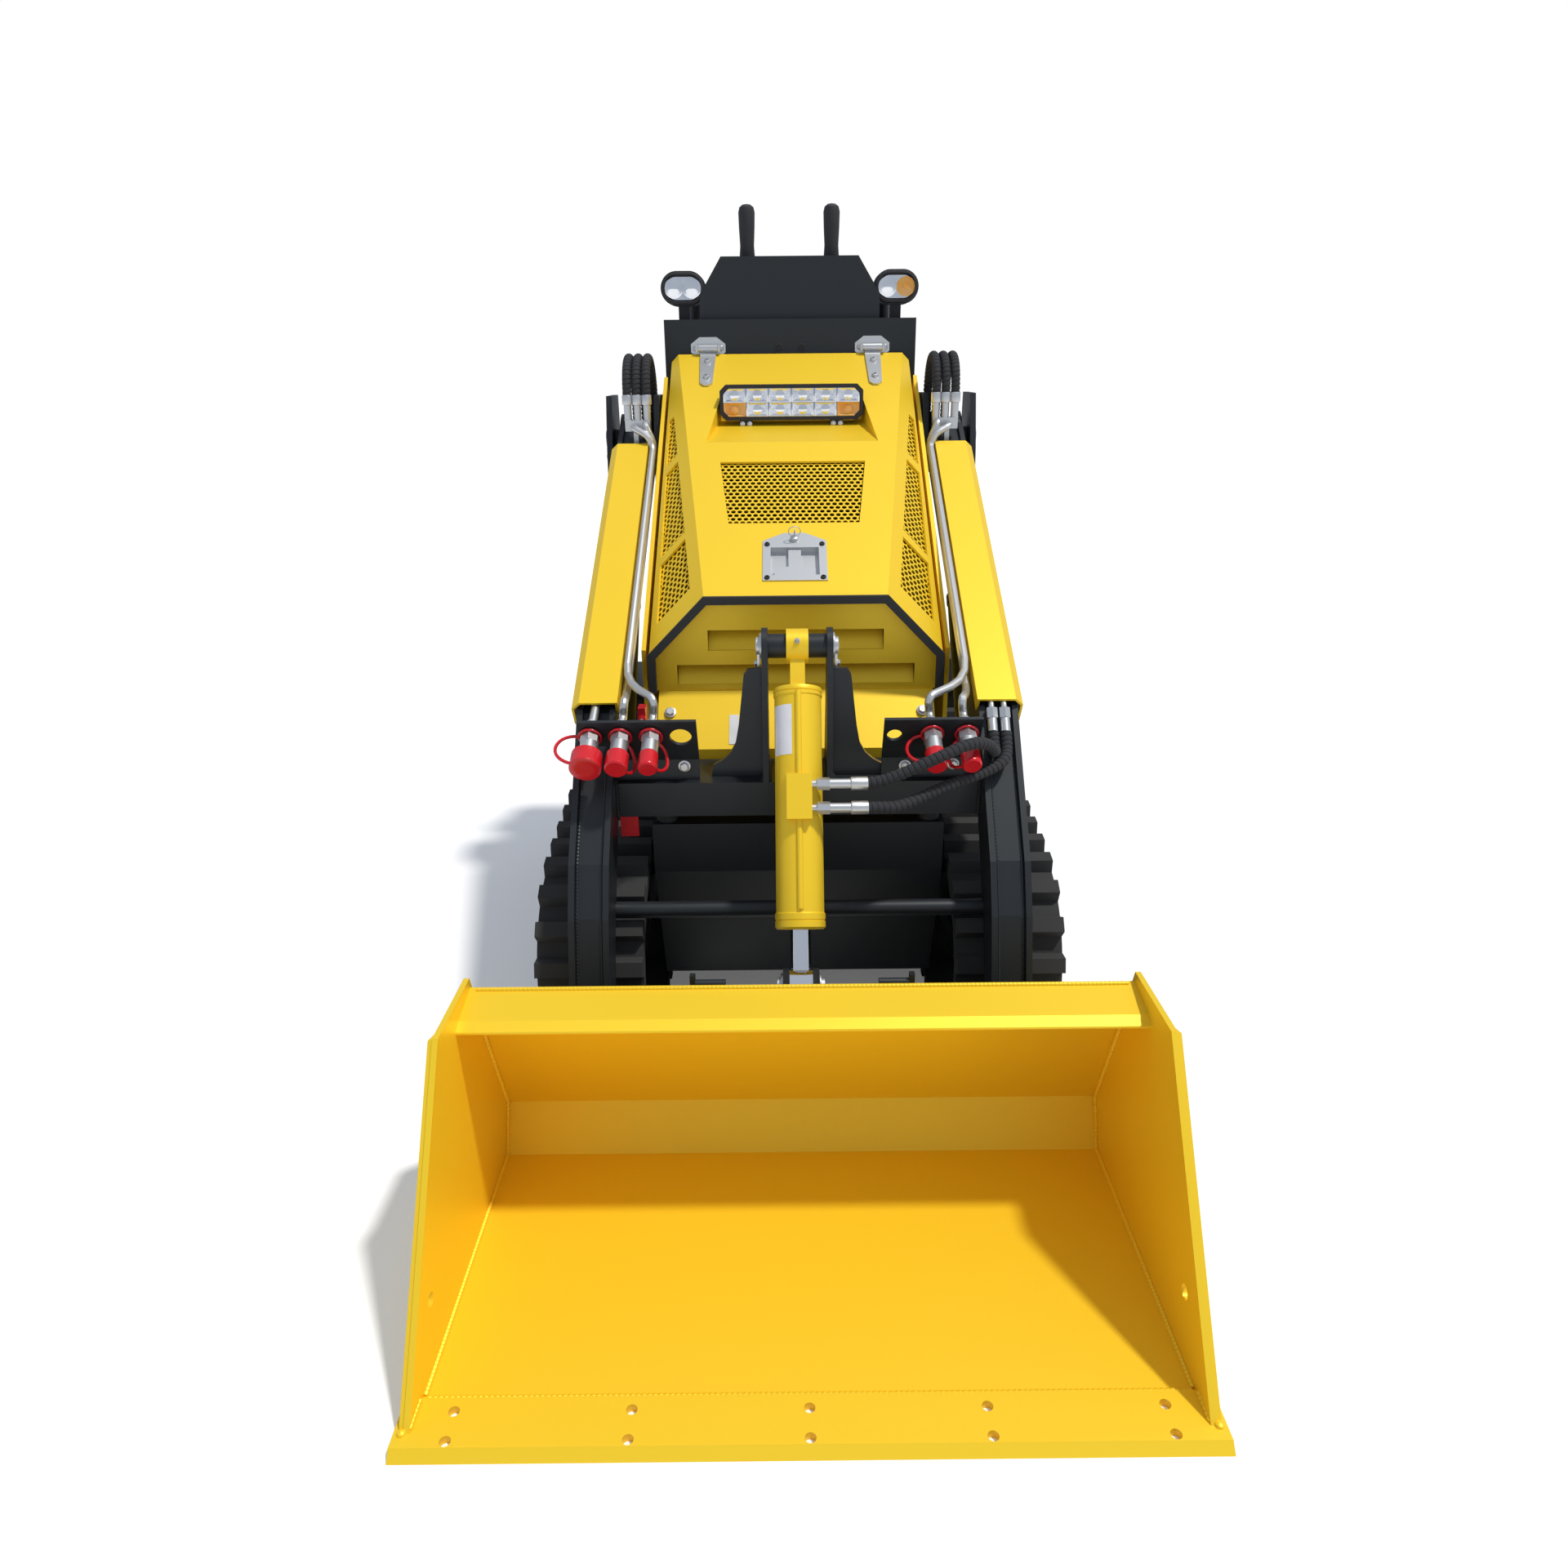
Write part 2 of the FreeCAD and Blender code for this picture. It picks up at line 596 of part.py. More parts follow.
def make_arms():
    profile = arm_profile()
    solids = []
    for place, start in (("inner", s.arm_inner), ("outer", s.arm_outer - s.arm_plate)):
        end = start + s.arm_plate
        web = plate("arm_web_" + place, "side", profile, start, end)
        rear = cylinder("arm_rear_" + place, "x", (behind(s.arm_pivot_y), s.arm_pivot_z),
                        s.arm_boss_radius, start, end)
        foot = cylinder("arm_foot_" + place, "x",
                        (behind(s.bucket_pivot_y), s.bucket_pivot_z),
                        s.arm_foot_radius, start, end)
        solids += [web, rear, foot]
    inset = s.arm_face_inset + s.arm_face_plate / 2
    top_end, knee, bend, shin, foot = profile[:5]
    face = [(top_end[0] + inset * 0.5, top_end[1] - inset),
            (knee[0] + inset * 0.64, knee[1] - inset * 1.1),
            (bend[0] + inset * 1.1, bend[1] - inset * 0.5),
            (shin[0] + inset, shin[1] - inset * 0.3),
            (foot[0] + inset, foot[1] - inset * 0.3)]
    solids.append(folded("arm_face", face, s.arm_face_plate, s.arm_inner + s.arm_plate,
                         s.arm_outer - s.arm_plate))
    for name, y, z, radius in (("rear", s.arm_pivot_y, s.arm_pivot_z, s.arm_boss_radius),
                               ("foot", s.bucket_pivot_y, s.bucket_pivot_z, s.arm_foot_radius)):
        solids.append(cylinder("arm_tube_" + name, "x", (behind(y), z), radius * 0.7,
                               s.arm_inner, s.arm_outer))
    bores = fuse("arm_bores", [
        cylinder("arm_bore_" + name, "x", (behind(y), z), radius + s.pin_gap,
                 s.arm_inner - 1, s.arm_outer + 1)
        for name, y, z, radius in (("rear", s.arm_pivot_y, s.arm_pivot_z, s.axle_radius),
                                   ("foot", s.bucket_pivot_y, s.bucket_pivot_z, s.pin_radius))])
    right = cut("arm_right_whole", fuse("arm_right_solid", solids), bores)
    node("arm_right", right)
    node("arm_left", mirrored("arm_left_whole", right))
    cross = block("cross_beam", (-s.arm_inner, s.arm_inner),
                  (behind(s.cross_y), behind(s.cross_y + s.cross_depth)),
                  (s.cross_z, s.cross_z + s.cross_height))
    node("crossmember", cross)
    node("cross_tube", cylinder("cross_bar", "x", (behind(s.tube_y), s.tube_z),
                                s.tube_radius, -s.arm_inner, s.arm_inner))


# Outer edge of the tilt bracket's wings, outwards from the web and up from the beam.
WING = ((98, 0), (94, 20), (80, 28), (66, 40), (56, 58), (50, 90), (40, 176), (34, 186),
        (14, 188))


def make_tilt_bracket():
    """Two tall plates on the crossmember with gussets and the cylinder's top pin."""
    top = s.cross_z + s.cross_height
    front = behind(s.cross_y)
    back = behind(s.cross_y + s.cross_depth)
    radius = s.tilt_eye_radius + 2
    eye_y = behind(s.tilt_eye_y)
    points = [(front, top), (back, top), (eye_y + radius, s.tilt_eye_z - 60),
              (eye_y + radius, s.tilt_eye_z), (eye_y - radius, s.tilt_eye_z),
              (eye_y - radius, s.tilt_eye_z - 40)]
    start = s.ear_gap + s.bracket_gap
    web = plate("bracket_web", "side", points, start, start + s.ear_plate)
    head = cylinder("bracket_head", "x", (eye_y, s.tilt_eye_z), radius, start, start + s.ear_plate)
    root = start + s.ear_plate - 1
    gusset = [(root, top)] + [(start + out, top + high) for out, high in WING]
    gusset += [(root, top + WING[-1][1])]
    wing = plate("bracket_wing", "front", gusset, front + s.wing_inset,
                 front + s.wing_inset + s.wing_thickness)
    spacer = cylinder("bracket_spacer", "x", (eye_y, s.tilt_eye_z), 20,
                      s.eye_half_width + s.pin_gap, start)
    right = fuse("bracket_right", [web, head, wing, spacer])
    node("tilt_bracket", both_sides("bracket_pair", right))


def strip_outline(points, thickness):
    """The closed outline of a folded strip whose outer face follows the points."""
    inner = []
    for index, corner in enumerate(points):
        ways = []
        for first, last in ((index - 1, index), (index, index + 1)):
            if first >= 0 and last < len(points):
                run = points[last] - points[first]
                run.normalize()
                ways.append(Vector(run.y, -run.x, 0))
        normal = ways[0] + ways[-1]
        normal.normalize()
        inner.append(corner + normal * (thickness / normal.dot(ways[0])))
    return points + inner[::-1]


def beam_slope():
    """Rise of the arm's top edge for each millimetre backwards."""
    return (s.arm_pivot_z + s.beam_top_rise - s.knee_z) / (s.arm_pivot_y - s.knee_y)


def make_covers():
    """Folded covers on the upper arms: top, chamfer and outer side, swept up the beam."""
    slope = math.atan(float(beam_slope()))
    way = Vector(0, math.cos(slope), math.sin(slope))
    up = Vector(0, -math.sin(slope), math.cos(slope))
    length = float(s.cover_top_y - s.knee_y) / math.cos(slope)
    start = point(0, behind(s.knee_y), s.knee_z) + up * float(s.cover_lift)
    outer = [(s.cover_inner, -s.cover_drop / 2), (s.cover_inner, 0),
             (s.cover_outer - s.cover_chamfer, 0), (s.cover_outer, -s.cover_chamfer),
             (s.cover_outer, -s.cover_drop)]
    flat = [Vector(float(across), float(high), 0) for across, high in outer]
    loop = strip_outline(flat, float(s.cover_sheet))
    solids = []
    for side in (1, -1):
        corners = [start + Vector(side * flat_point.x, 0, 0) + up * flat_point.y
                   for flat_point in loop]
        face = Part.Face(Part.makePolygon(corners + corners[:1]))
        solids.append(face.extrude(way * length))
    node("arm_covers", made("cover_shapes", Part.makeCompound(solids)))


def make_cylinders():
    tilt_base = point(0, behind(s.tilt_eye_y), s.tilt_eye_z)
    tilt_end = point(0, behind(s.tilt_pin_y), s.tilt_pin_z)
    barrel, rod = ram(tilt_base, tilt_end, s.tilt_eye_radius, s.tilt_barrel_radius,
                      s.tilt_barrel_top, s.tilt_barrel_top + s.tilt_barrel_length,
                      s.tilt_rod_radius, s.tilt_rod_tail)
    port, pipes = tilt_port(tilt_base, tilt_end)
    node("tilt_barrel", made("tilt_barrel_shape", barrel.fuse([port] + pipes)))
    node("tilt_rod", made("tilt_rod_shape", rod))
    make_port_fittings(tilt_base, tilt_end)
    barrels = []
    rods = []
    for side in (-1, 1):
        base = point(side * s.lift_x, behind(s.lift_base_y), s.lift_base_z)
        end = point(side * s.lift_x, behind(s.lift_eye_y), s.lift_eye_z)
        barrel, rod = ram(base, end, s.lift_eye_radius, s.lift_barrel_radius, 30,
                          s.lift_barrel_length, s.lift_rod_radius, s.lift_rod_tail)
        barrels.append(barrel)
        rods.append(rod)
    node("lift_barrels", made("lift_barrel_shapes", Part.makeCompound(barrels)))
    node("lift_rods", made("lift_rod_shapes", Part.makeCompound(rods)))


def ram(base, end, eye_radius, barrel_radius, barrel_start, barrel_end, rod_radius, tail):
    """A hydraulic cylinder's barrel and rod between two pins, along X at both eyes."""
    way = end - base
    way.normalize()
    wide = Vector(float(s.eye_half_width), 0, 0)
    side = Vector(1, 0, 0)
    bore = float(s.pin_radius) + float(s.pin_gap)
    top = base + way * float(barrel_start)
    shapes = []
    for centre, neck_end in ((base, top), (end, end - way * float(eye_radius * 1.35))):
        ring = Part.makeCylinder(float(eye_radius), 2 * wide.x, centre - wide, side)
        neck = flat_bar(s.neck_half_width, s.neck_half_width, centre, neck_end)
        hole = Part.makeCylinder(bore, 2 * wide.x + 2, centre - wide - side, side)
        shapes.append(ring.fuse(neck).cut(hole))
    shell = rod_between(barrel_radius, top, base + way * float(barrel_end))
    bore_start = top + way * 20
    inside = rod_between(float(rod_radius) + float(s.pin_gap), bore_start,
                         base + way * (float(barrel_end) + 1))
    barrel = shapes[0].fuse(shell).cut(inside)
    rod = rod_between(rod_radius, bore_start + way * float(tail),
                      end - way * float(eye_radius * 1.2))
    return barrel, shapes[1].fuse(rod)


def port_places(base, end):
    """Where the tilt cylinder's two ports lie, and the direction of its front."""
    way = end - base
    way.normalize()
    front = Vector(0, -abs(way.z), abs(way.y))
    ahead = front * float(s.tilt_barrel_radius + s.port_depth / 2 - 4)
    return [base + way * float(s.port_start + s.port_length * share) + ahead
            for share in (0.22, 0.75)], way, front


def tilt_port(base, end):
    """The block with the tilt cylinder's ports, and its pipe down the barrel."""
    ports, way, front = port_places(base, end)
    ahead = front * float(s.tilt_barrel_radius + s.port_depth / 2 - 4)
    start = base + way * float(s.port_start) + ahead
    port = flat_bar(s.port_half_width, s.port_depth / 2 + 4, start,
                    start + way * float(s.port_length))
    skin = front * float(s.tilt_barrel_radius)
    pipes = [rod_between(s.port_pipe_radius, base + way * float(first) + skin,
                         base + way * float(last) + skin)
             for first, last in ((s.tilt_barrel_top + 9, s.port_start + 1),
                                 (s.port_start + s.port_length - 1,
                                  s.tilt_barrel_top + s.tilt_barrel_length - 30))]
    return port, pipes


# Couplers, pipes and hoses.
# Coupler brackets: side, inner and outer edge, and the place and radius of its hole.
BRACKETS = ((-1, 165, 358, 192, 18), (1, 140, 300, 158, 12.5))
# Couplers: side, distance from the middle, and the radius of the cap.
COUPLERS = ((-1, 339, 26), (-1, 290, 19), (-1, 240, 16), (1, 219, 17), (1, 275, 16))
# Fittings of the two hoses of the tilt cylinder, at the knee of the right arm.
HOSE_FITTINGS = (324, 345)
# Last bends of the upper and of the lower pipe, in front of the arm's hose block.
PIPE_ENDS = (((300, 1468, 1058), (332, 1480, 1074)), ((291, 1482, 1044), (307.5, 1484, 1080)))


def at(x, y, z):
    """A point from its X, its distance behind the lip and its height."""
    return point(x, behind(y), z)


def prism(points, start, end):
    """A straight bar along X whose side view is these points."""
    loop = [at(start, y, z) for y, z in points]
    return Part.Face(Part.makePolygon(loop + loop[:1])).extrude(Vector(float(end - start), 0, 0))


def on_flange(x, rise, back):
    """A place on a bracket's flange: up it from the fold, and backwards through it."""
    lean = math.radians(float(s.flange_lean))
    up = Vector(0, -math.sin(lean), math.cos(lean))
    through = Vector(0, math.cos(lean), math.sin(lean))
    return at(x, s.bracket_y, s.bracket_fold_z) + up * float(rise) + through * float(back)


def beam_top(y):
    """Height of the arm's top edge at this distance behind the lip."""
    return s.knee_z + beam_slope() * (y - s.knee_y)


def on_beam(x, y, lift):
    """A place this far above the arm's top edge, square to it."""
    slope = math.atan(float(beam_slope()))
    up = Vector(0, -math.sin(slope), math.cos(slope))
    return at(x, y, beam_top(y)) + up * float(lift)


def on_front(x, down, ahead):
    """A place down the arm's slanted front from the knee, and ahead of it."""
    way = at(0, s.bend_y, s.bend_z) - at(0, s.knee_y, s.knee_z)
    way.normalize()
    out = Vector(0, way.z, -way.y)
    return at(x, s.knee_y, s.knee_z) + way * float(down) + out * float(ahead)


def make_couplers():
    """Brackets on the crossmember, with the couplers, their caps and their pipes."""
    plates = []
    cross_top = float(s.cross_z + s.cross_height + s.pin_gap)
    edge = float(s.arm_inner - s.ear_plate / 5)
    lean = math.radians(float(s.flange_lean))
    sheet_size = float(s.bracket_sheet)
    for side, inner, outer, hole_x, hole_radius in BRACKETS:
        between = side * min(outer, edge)
        tops = [on_flange(0, s.flange_height, back) for back in (0, sheet_size)]
        fold = at(0, s.bracket_y, s.bracket_fold_z)
        inside = fold + Vector(0, sheet_size, sheet_size * math.tan(lean / 2))
        foot = at(0, s.bracket_y, cross_top)
        views = [(foot, fold, tops[0], tops[1], inside, foot + Vector(0, sheet_size, 0))]
        spans = [(side * inner, between)]
        if outer > edge:
            low = [on_flange(0, s.flange_height * 0.38, back) for back in (0, sheet_size)]
            views.append((low[0], tops[0], tops[1], low[1]))
            spans.append((between, side * outer))
        pieces = []
        for view, (start, end) in zip(views, spans):
            loop = [Vector(start, corner.y, corner.z) for corner in view]
            face = Part.Face(Part.makePolygon(loop + loop[:1]))
            pieces.append(face.extrude(Vector(end - start, 0, 0)))
        holes = [rod_between(hole_radius, on_flange(side * hole_x, s.flange_hole_rise, -1),
                             on_flange(side * hole_x, s.flange_hole_rise, sheet_size + 1))]
        holes += [rod_between(s.coupler_neck + s.pin_gap, on_flange(way * x, s.coupler_rise, -1),
                              on_flange(way * x, s.coupler_rise, sheet_size + 1))
                  for way, x, radius in COUPLERS if way == side]
        plates.append(pieces[0].fuse(pieces[1:]).cut(holes) if pieces[1:]
                      else pieces[0].cut(holes))
    node("coupler_plates", made("coupler_plate_shapes", Part.makeCompound(plates)))

    gap = float(s.pin_gap)
    back = sheet_size + gap
    solids = []
    caps = []
    for side, x, cap_radius in COUPLERS:
        def on_axis(distance):
            return on_flange(side * x, s.coupler_rise, distance)
        front = on_axis(-s.coupler_length)
        pieces = [rod_between(s.coupler_neck, on_axis(-gap - 1), on_axis(back + 1)),
                  nut(s.nut_radius, on_axis(back), on_axis(back + s.nut_length)),
                  nut(s.coupler_radius + 2, on_axis(-gap), on_axis(-s.coupler_length * 0.45)),
                  rod_between(s.coupler_radius, on_axis(-s.coupler_length * 0.45), front)]
        solids.append(pieces[0].fuse(pieces[1:]))
        caps.append(rod_between(cap_radius, on_axis(-s.coupler_length - gap),
                                on_axis(-s.coupler_length - gap - s.cap_length)))
    node("coupler_caps", made("cap_shapes", Part.makeCompound(caps)))

    # Hose blocks on the upper arms, with a sleeve for each hose, and the knee's fittings.
    block_y, block_z = s.hose_block_y, s.hose_block_z
    for side in (-1, 1):
        ends = sorted((side * (s.hose_x - s.hose_radius + 3),
                       side * (s.hose_x + s.hose_pitch * 3 - 14)), key=float)
        top = block_z + s.hose_block_height
        body = prism([(block_y, block_z), (block_y + s.hose_block_depth, block_z),
                      (block_y + s.hose_block_depth, top), (block_y, top)], *ends)
        near, far = block_y + 4, block_y + 16
        sunk = s.arm_face_inset * 1.36
        post = prism([(near, block_z + 1), (near, beam_top(near) - sunk),
                      (far, beam_top(far) - sunk), (far, block_z + 1)],
                     side * float(s.arm_inner + s.arm_plate * 2),
                     side * float(s.arm_inner + s.arm_plate * 3))
        pieces = [post]
        for number in range(3):
            x = side * (s.hose_x + s.hose_pitch * number)
            middle = block_y + s.hose_block_depth / 2
            pieces.append(rod_between(s.sleeve_radius, at(x, middle, top - 1),
                                      at(x, middle, top + s.sleeve_length)))
        solids.append(body.fuse(pieces))
    for x in HOSE_FITTINGS:
        solids.append(nut(10, on_front(x, 8, 7), on_front(x, 26, 7)).fuse(
            rod_between(s.sleeve_radius, on_front(x, 25, 7), on_front(x, 50, 7))))
    node("couplers", made("coupler_shapes", Part.makeCompound(solids)))
    make_pipes(back + float(s.nut_length) + gap)


def make_pipes(start):
    """Steel pipes from the couplers along the arms to the hose blocks."""
    pipes = []
    radius = s.pipe_radius

    def run(side, x, place):
        first = on_flange(side * x, s.coupler_rise, start)
        elbow = on_flange(side * x, s.coupler_rise, start + 20)
        inside = side * float(s.pipe_x)
        knee_y = s.knee_y + 46 - place * 12
        lift = 10 - s.pipe_pitch * place
        risen = at(side * (x - 4), s.bracket_y + 12, s.bracket_fold_z + 102 - place * 4)
        path = [first, elbow, risen, on_beam(inside, knee_y, lift), on_beam(inside, 1472, lift)]
        path += [at(side * last_x, y, z) for last_x, y, z in PIPE_ENDS[place]]
        last_x, y, z = PIPE_ENDS[place][-1]
        path.append(at(side * last_x, s.hose_block_y - s.pin_gap, z))
        return tube(radius, path)
    pipes.append(run(-1, 240, 0))
    pipes.append(run(-1, 290, 1))
    pipes.append(run(1, 219, 0))
    pipes.append(run(1, 275, 1))
    pipes.append(rod_between(radius, on_flange(-339, s.coupler_rise, start),
                             on_beam(-338, 852, 2)))
    for x in HOSE_FITTINGS:
        pipes.append(tube(5, [on_beam(x, 930, 2), on_beam(x, 862, 2), on_front(x, -3, 7),
                              on_front(x, 8 - s.pin_gap, 7)]))
    node("arm_pipes", made("pipe_shapes", Part.makeCompound(pipes)))


# Routes of the hoses, as X, distance behind the lip and height of each point.
TILT_ROUTES = (
    ((87, 682.2, 585.1), (124, 682.2, 585.1), (165, 680, 603), (219, 682, 628),
     (272, 702, 645), (305, 728, 632), (320, 752, 608), (324, 782.4, 605.7),
     (324, 800.4, 627.2)),
    ((87, 663.1, 552), (123, 663.1, 552), (160, 668, 550), (223, 698, 568), (275, 722, 577),
     (315, 742, 585), (338, 757, 594), (345, 782.4, 605.7), (345, 800.4, 627.2)),
)
ARM_ROUTE = ((1513, 1118), (1513, 1150), (1526, 1185), (1556, 1208), (1592, 1212),
             (1626, 1196), (1648, 1166), (1657, 1130), (1659, 1090), (1667, 1048),
             (1686, 1010), (1712, 985), (1740, 985))


def make_hoses():
    """The tilt cylinder's two hoses, and three from each arm back to the console."""
    node("tilt_hoses", made("tilt_hose_shapes", Part.makeCompound(
        [tube(s.hose_radius, [at(*place) for place in route], 8) for route in TILT_ROUTES])))
    ends = (at(0, s.hose_block_y + s.hose_block_depth / 2,
               s.hose_block_z + s.hose_block_height + s.sleeve_length + s.pin_gap),
            at(0, s.bulkhead_y - s.pin_gap, s.bulkhead_z))
    loops = []
    for side in (-1, 1):
        for number in range(3):
            x = side * float(s.hose_x + s.hose_pitch * number)
            path = [at(x, y, z) for y, z in ARM_ROUTE[1:-1]]
            path = [Vector(x, ends[0].y, ends[0].z)] + path + [Vector(x, ends[1].y, ends[1].z)]
            loops.append(tube(s.hose_radius, path, 8))
    node("tower_hoses", made("tower_hose_shapes", Part.makeCompound(loops)))


def make_port_fittings(base, end):
    """Fittings in the tilt cylinder's ports, one for each hose."""
    ports, way, front = port_places(base, end)
    solids = []
    for port, route in zip(ports, TILT_ROUTES):
        start = port + Vector(float(s.port_half_width), 0, 0)
        side = Vector(1, 0, 0)
        last = float(route[0][0] - s.pin_gap)
        solids.append(rod_between(6, start, start + side * 14).fuse([
            nut(10, start + side * 8, start + side * 28),
            rod_between(s.sleeve_radius, start + side * 27, Vector(last, start.y, start.z))]))
    node("port_fittings", made("port_fitting_shapes", Part.makeCompound(solids)))


def make_lock_bar():
    """The arms' safety lock: a bar on the crossmember and a tab below it."""
    top = s.cross_z + s.cross_height + s.pin_gap
    x = s.lock_x + s.lock_width
    bar = block("lock_upright", (-x, -s.lock_x), (behind(s.lock_y), behind(s.lock_y + s.lock_depth)),
                (top, top + s.lock_rise))
    low = s.cross_z - s.pin_gap
    x = s.lock_tab_x + s.lock_tab_width
    tab = block("lock_tab", (-x, -s.lock_tab_x),
                (behind(s.cross_y), behind(s.cross_y + s.lock_tab_sheet)),
                (low - s.lock_tab_drop, low))
    node("lock_bar", gather("lock_pieces", [bar, tab]))


# Tracks.
def belt_path(shrink):
    """The belt's loop round its three wheels, each radius made smaller by shrink.

    It comes as (kind, first, last, centre, radius) runs in the Y-Z plane, in order:
    along the ground, up to the sprocket and back over the top to the idler.
    """
    wheels = [(behind(s.idler_y), s.idler_radius, s.idler_radius),
              (behind(s.tail_y), s.tail_radius, s.tail_radius),
              (behind(s.sprocket_y), s.sprocket_z, s.sprocket_radius)]
    wheels = [(Vector(float(y), float(z), 0), float(radius) - shrink) for y, z, radius in wheels]
    normals = []
    for index, (centre, radius) in enumerate(wheels):
        next_centre, next_radius = wheels[(index + 1) % 3]
        run = next_centre - centre
        sine = (radius - next_radius) / run.Length
        run.normalize()
        normals.append(Vector(run.y, -run.x, 0) * math.sqrt(1 - sine * sine) + run * sine)
    runs = []
    for index, (centre, radius) in enumerate(wheels):
        before, after = normals[index - 1], normals[index]
        runs.append(("arc", centre + before * radius, centre + after * radius, centre, radius))
        next_centre, next_radius = wheels[(index + 1) % 3]
        runs.append(("line", centre + after * radius, next_centre + after * next_radius,
                     None, 0))
    return runs


def run_length(run):
    kind, first, last, centre, radius = run
    if kind == "line":
        return (last - first).Length
    return radius * swept(first - centre, last - centre)


def swept(first, last):
    """The angle from one direction to another, the way the loop runs."""
    return (math.atan2(last.y, last.x) - math.atan2(first.y, first.x)) % (2 * math.pi)


def along(runs, distance):
    """The point of the loop at a distance from its start, and its outward normal."""
    distance %= sum(run_length(run) for run in runs)
    for kind, first, last, centre, radius in runs:
        length = run_length((kind, first, last, centre, radius))
        if distance <= length:
            break
        distance -= length
    if kind == "line":
        way = last - first
        way.normalize()
        return first + way * distance, Vector(way.y, -way.x, 0)
    turn = math.atan2(first.y - centre.y, first.x - centre.x) + distance / radius
    normal = Vector(math.cos(turn), math.sin(turn), 0)
    return centre + normal * radius, normal


def loop_wire(runs, x):
    """The loop as exact lines and arcs in the plane of this X."""
    edges = []
    for kind, first, last, centre, radius in runs:
        ends = [Vector(x, at.x, at.y) for at in (first, last)]
        if kind == "line":
            edges.append(Part.LineSegment(*ends).toShape())
        else:
            half = swept(first - centre, last - centre) / 2
            middle = along([(kind, first, last, centre, radius)], half * radius)[0]
            edges.append(Part.Arc(ends[0], Vector(x, middle.x, middle.y), ends[1]).toShape())
    return Part.Wire(edges)


LUG_SHARES = ((0.00, 0), (0.10, 1), (0.46, 1), (0.56, 0), (0.78, 0))


def make_track(inner, width):
    """One track: a belt with a lug on each pitch, as wide as the belt."""
    lug = float(s.lug_height)
    root = belt_path(lug)
    pitch = sum(run_length(run) for run in root) / int(s.lug_count.value)
    corners = []
    for number in range(int(s.lug_count.value)):
        for share, high in LUG_SHARES:
            at, normal = along(root, (number + share) * pitch)
            at = at + normal * (high * lug)
            corners.append(Vector(inner, at.x, at.y))
    outside = Part.makePolygon(corners + corners[:1])
    inside = loop_wire(belt_path(lug + float(s.belt_thickness)), inner)
    section = Part.makeFace([outside, inside], "Part::FaceMakerBullseye")
    return section.extrude(Vector(width, 0, 0))


SIDES = (("left", -1), ("right", 1))


def make_tracks():
    reach = s.lug_height + s.belt_thickness + s.wheel_gap
    plate_in = s.track_inner + (s.track_width - s.track_frame_width) / 2
    plate_out = plate_in + s.track_frame_width
    inner = plate_in + s.frame_plate
    outer = plate_out - s.frame_plate
    for name, way in SIDES:
        low = s.track_inner.value if way > 0 else -s.track_inner.value - s.track_width.value
        node("track_" + name, made("belt_" + name, make_track(low, s.track_width.value)))
    idler_z = s.idler_radius
    wheels = {"idlers": (s.idler_y, idler_z, s.idler_radius - reach),
              "tail_wheels": (s.tail_y, s.tail_radius, s.tail_radius - reach),
              "sprockets": (s.sprocket_y, s.sprocket_z, s.sprocket_radius - reach)}
    for name, (y, z, radius) in wheels.items():
        rim = cylinder(name + "_rim", "x", (behind(y), z), radius, inner, outer)
        dish = cylinder(name + "_dish", "x", (behind(y), z), radius * 0.72,
                        outer - s.wheel_dish, outer)
        node(name, both_sides(name + "_pair", cut(name + "_dished", rim, dish)))
    roller_z = s.lug_height + s.belt_thickness + s.roller_radius + s.wheel_gap
    rollers = []
    count = int(s.roller_count.value)
    for number in range(count):
        share = number / (count - 1)
        y = behind(s.roller_front_y + (s.roller_rear_y - s.roller_front_y) * share)
        rollers.append(cylinder("roller_%d" % number, "x", (y, roller_z), s.roller_radius,
                                inner, outer))
    node("track_rollers", both_sides("roller_pair", gather("roller_row", rollers)))
    low = roller_z - s.roller_radius * 0.4
    high = s.idler_radius + s.frame_beam_height - 20
    front = behind(s.idler_y)
    side = [(front - 35, idler_z + 35), (front - 35, idler_z - 35),
            (behind(s.roller_front_y) - 40, low), (behind(s.tail_y) + 30, low),
            (behind(s.tail_y) + 45, s.tail_radius + 35), (behind(s.roller_rear_y), high),
            (behind(s.roller_front_y) - 20, high)]
    solids = [plate("frame_web_in", "side", side, plate_in, inner),
              plate("frame_web_out", "side", side, outer, plate_out),
              block("frame_beam", (inner, outer), (behind(s.roller_front_y), behind(s.roller_rear_y)),
                    (high - s.frame_beam_height * 0.6, high))]
    for place, y in (("front", s.roller_front_y + 60), ("rear", s.roller_rear_y - 60)):
        solids.append(cylinder("frame_tie_" + place, "x", (behind(y), high - 30), 26,
                               s.tub_half_width, plate_in + 1))
    motor = cylinder("drive_motor", "x", (behind(s.sprocket_y), s.sprocket_z),
                     s.motor_radius, s.tub_half_width, inner)
    node("track_frames", both_sides("frame_pair", fuse("frame_whole", solids)))
    node("drive_motors", both_sides("motor_pair", motor))


# Chassis.
platform_hinge = s.overall_length - s.platform_reach
tub_rear = platform_hinge - s.tail_gap


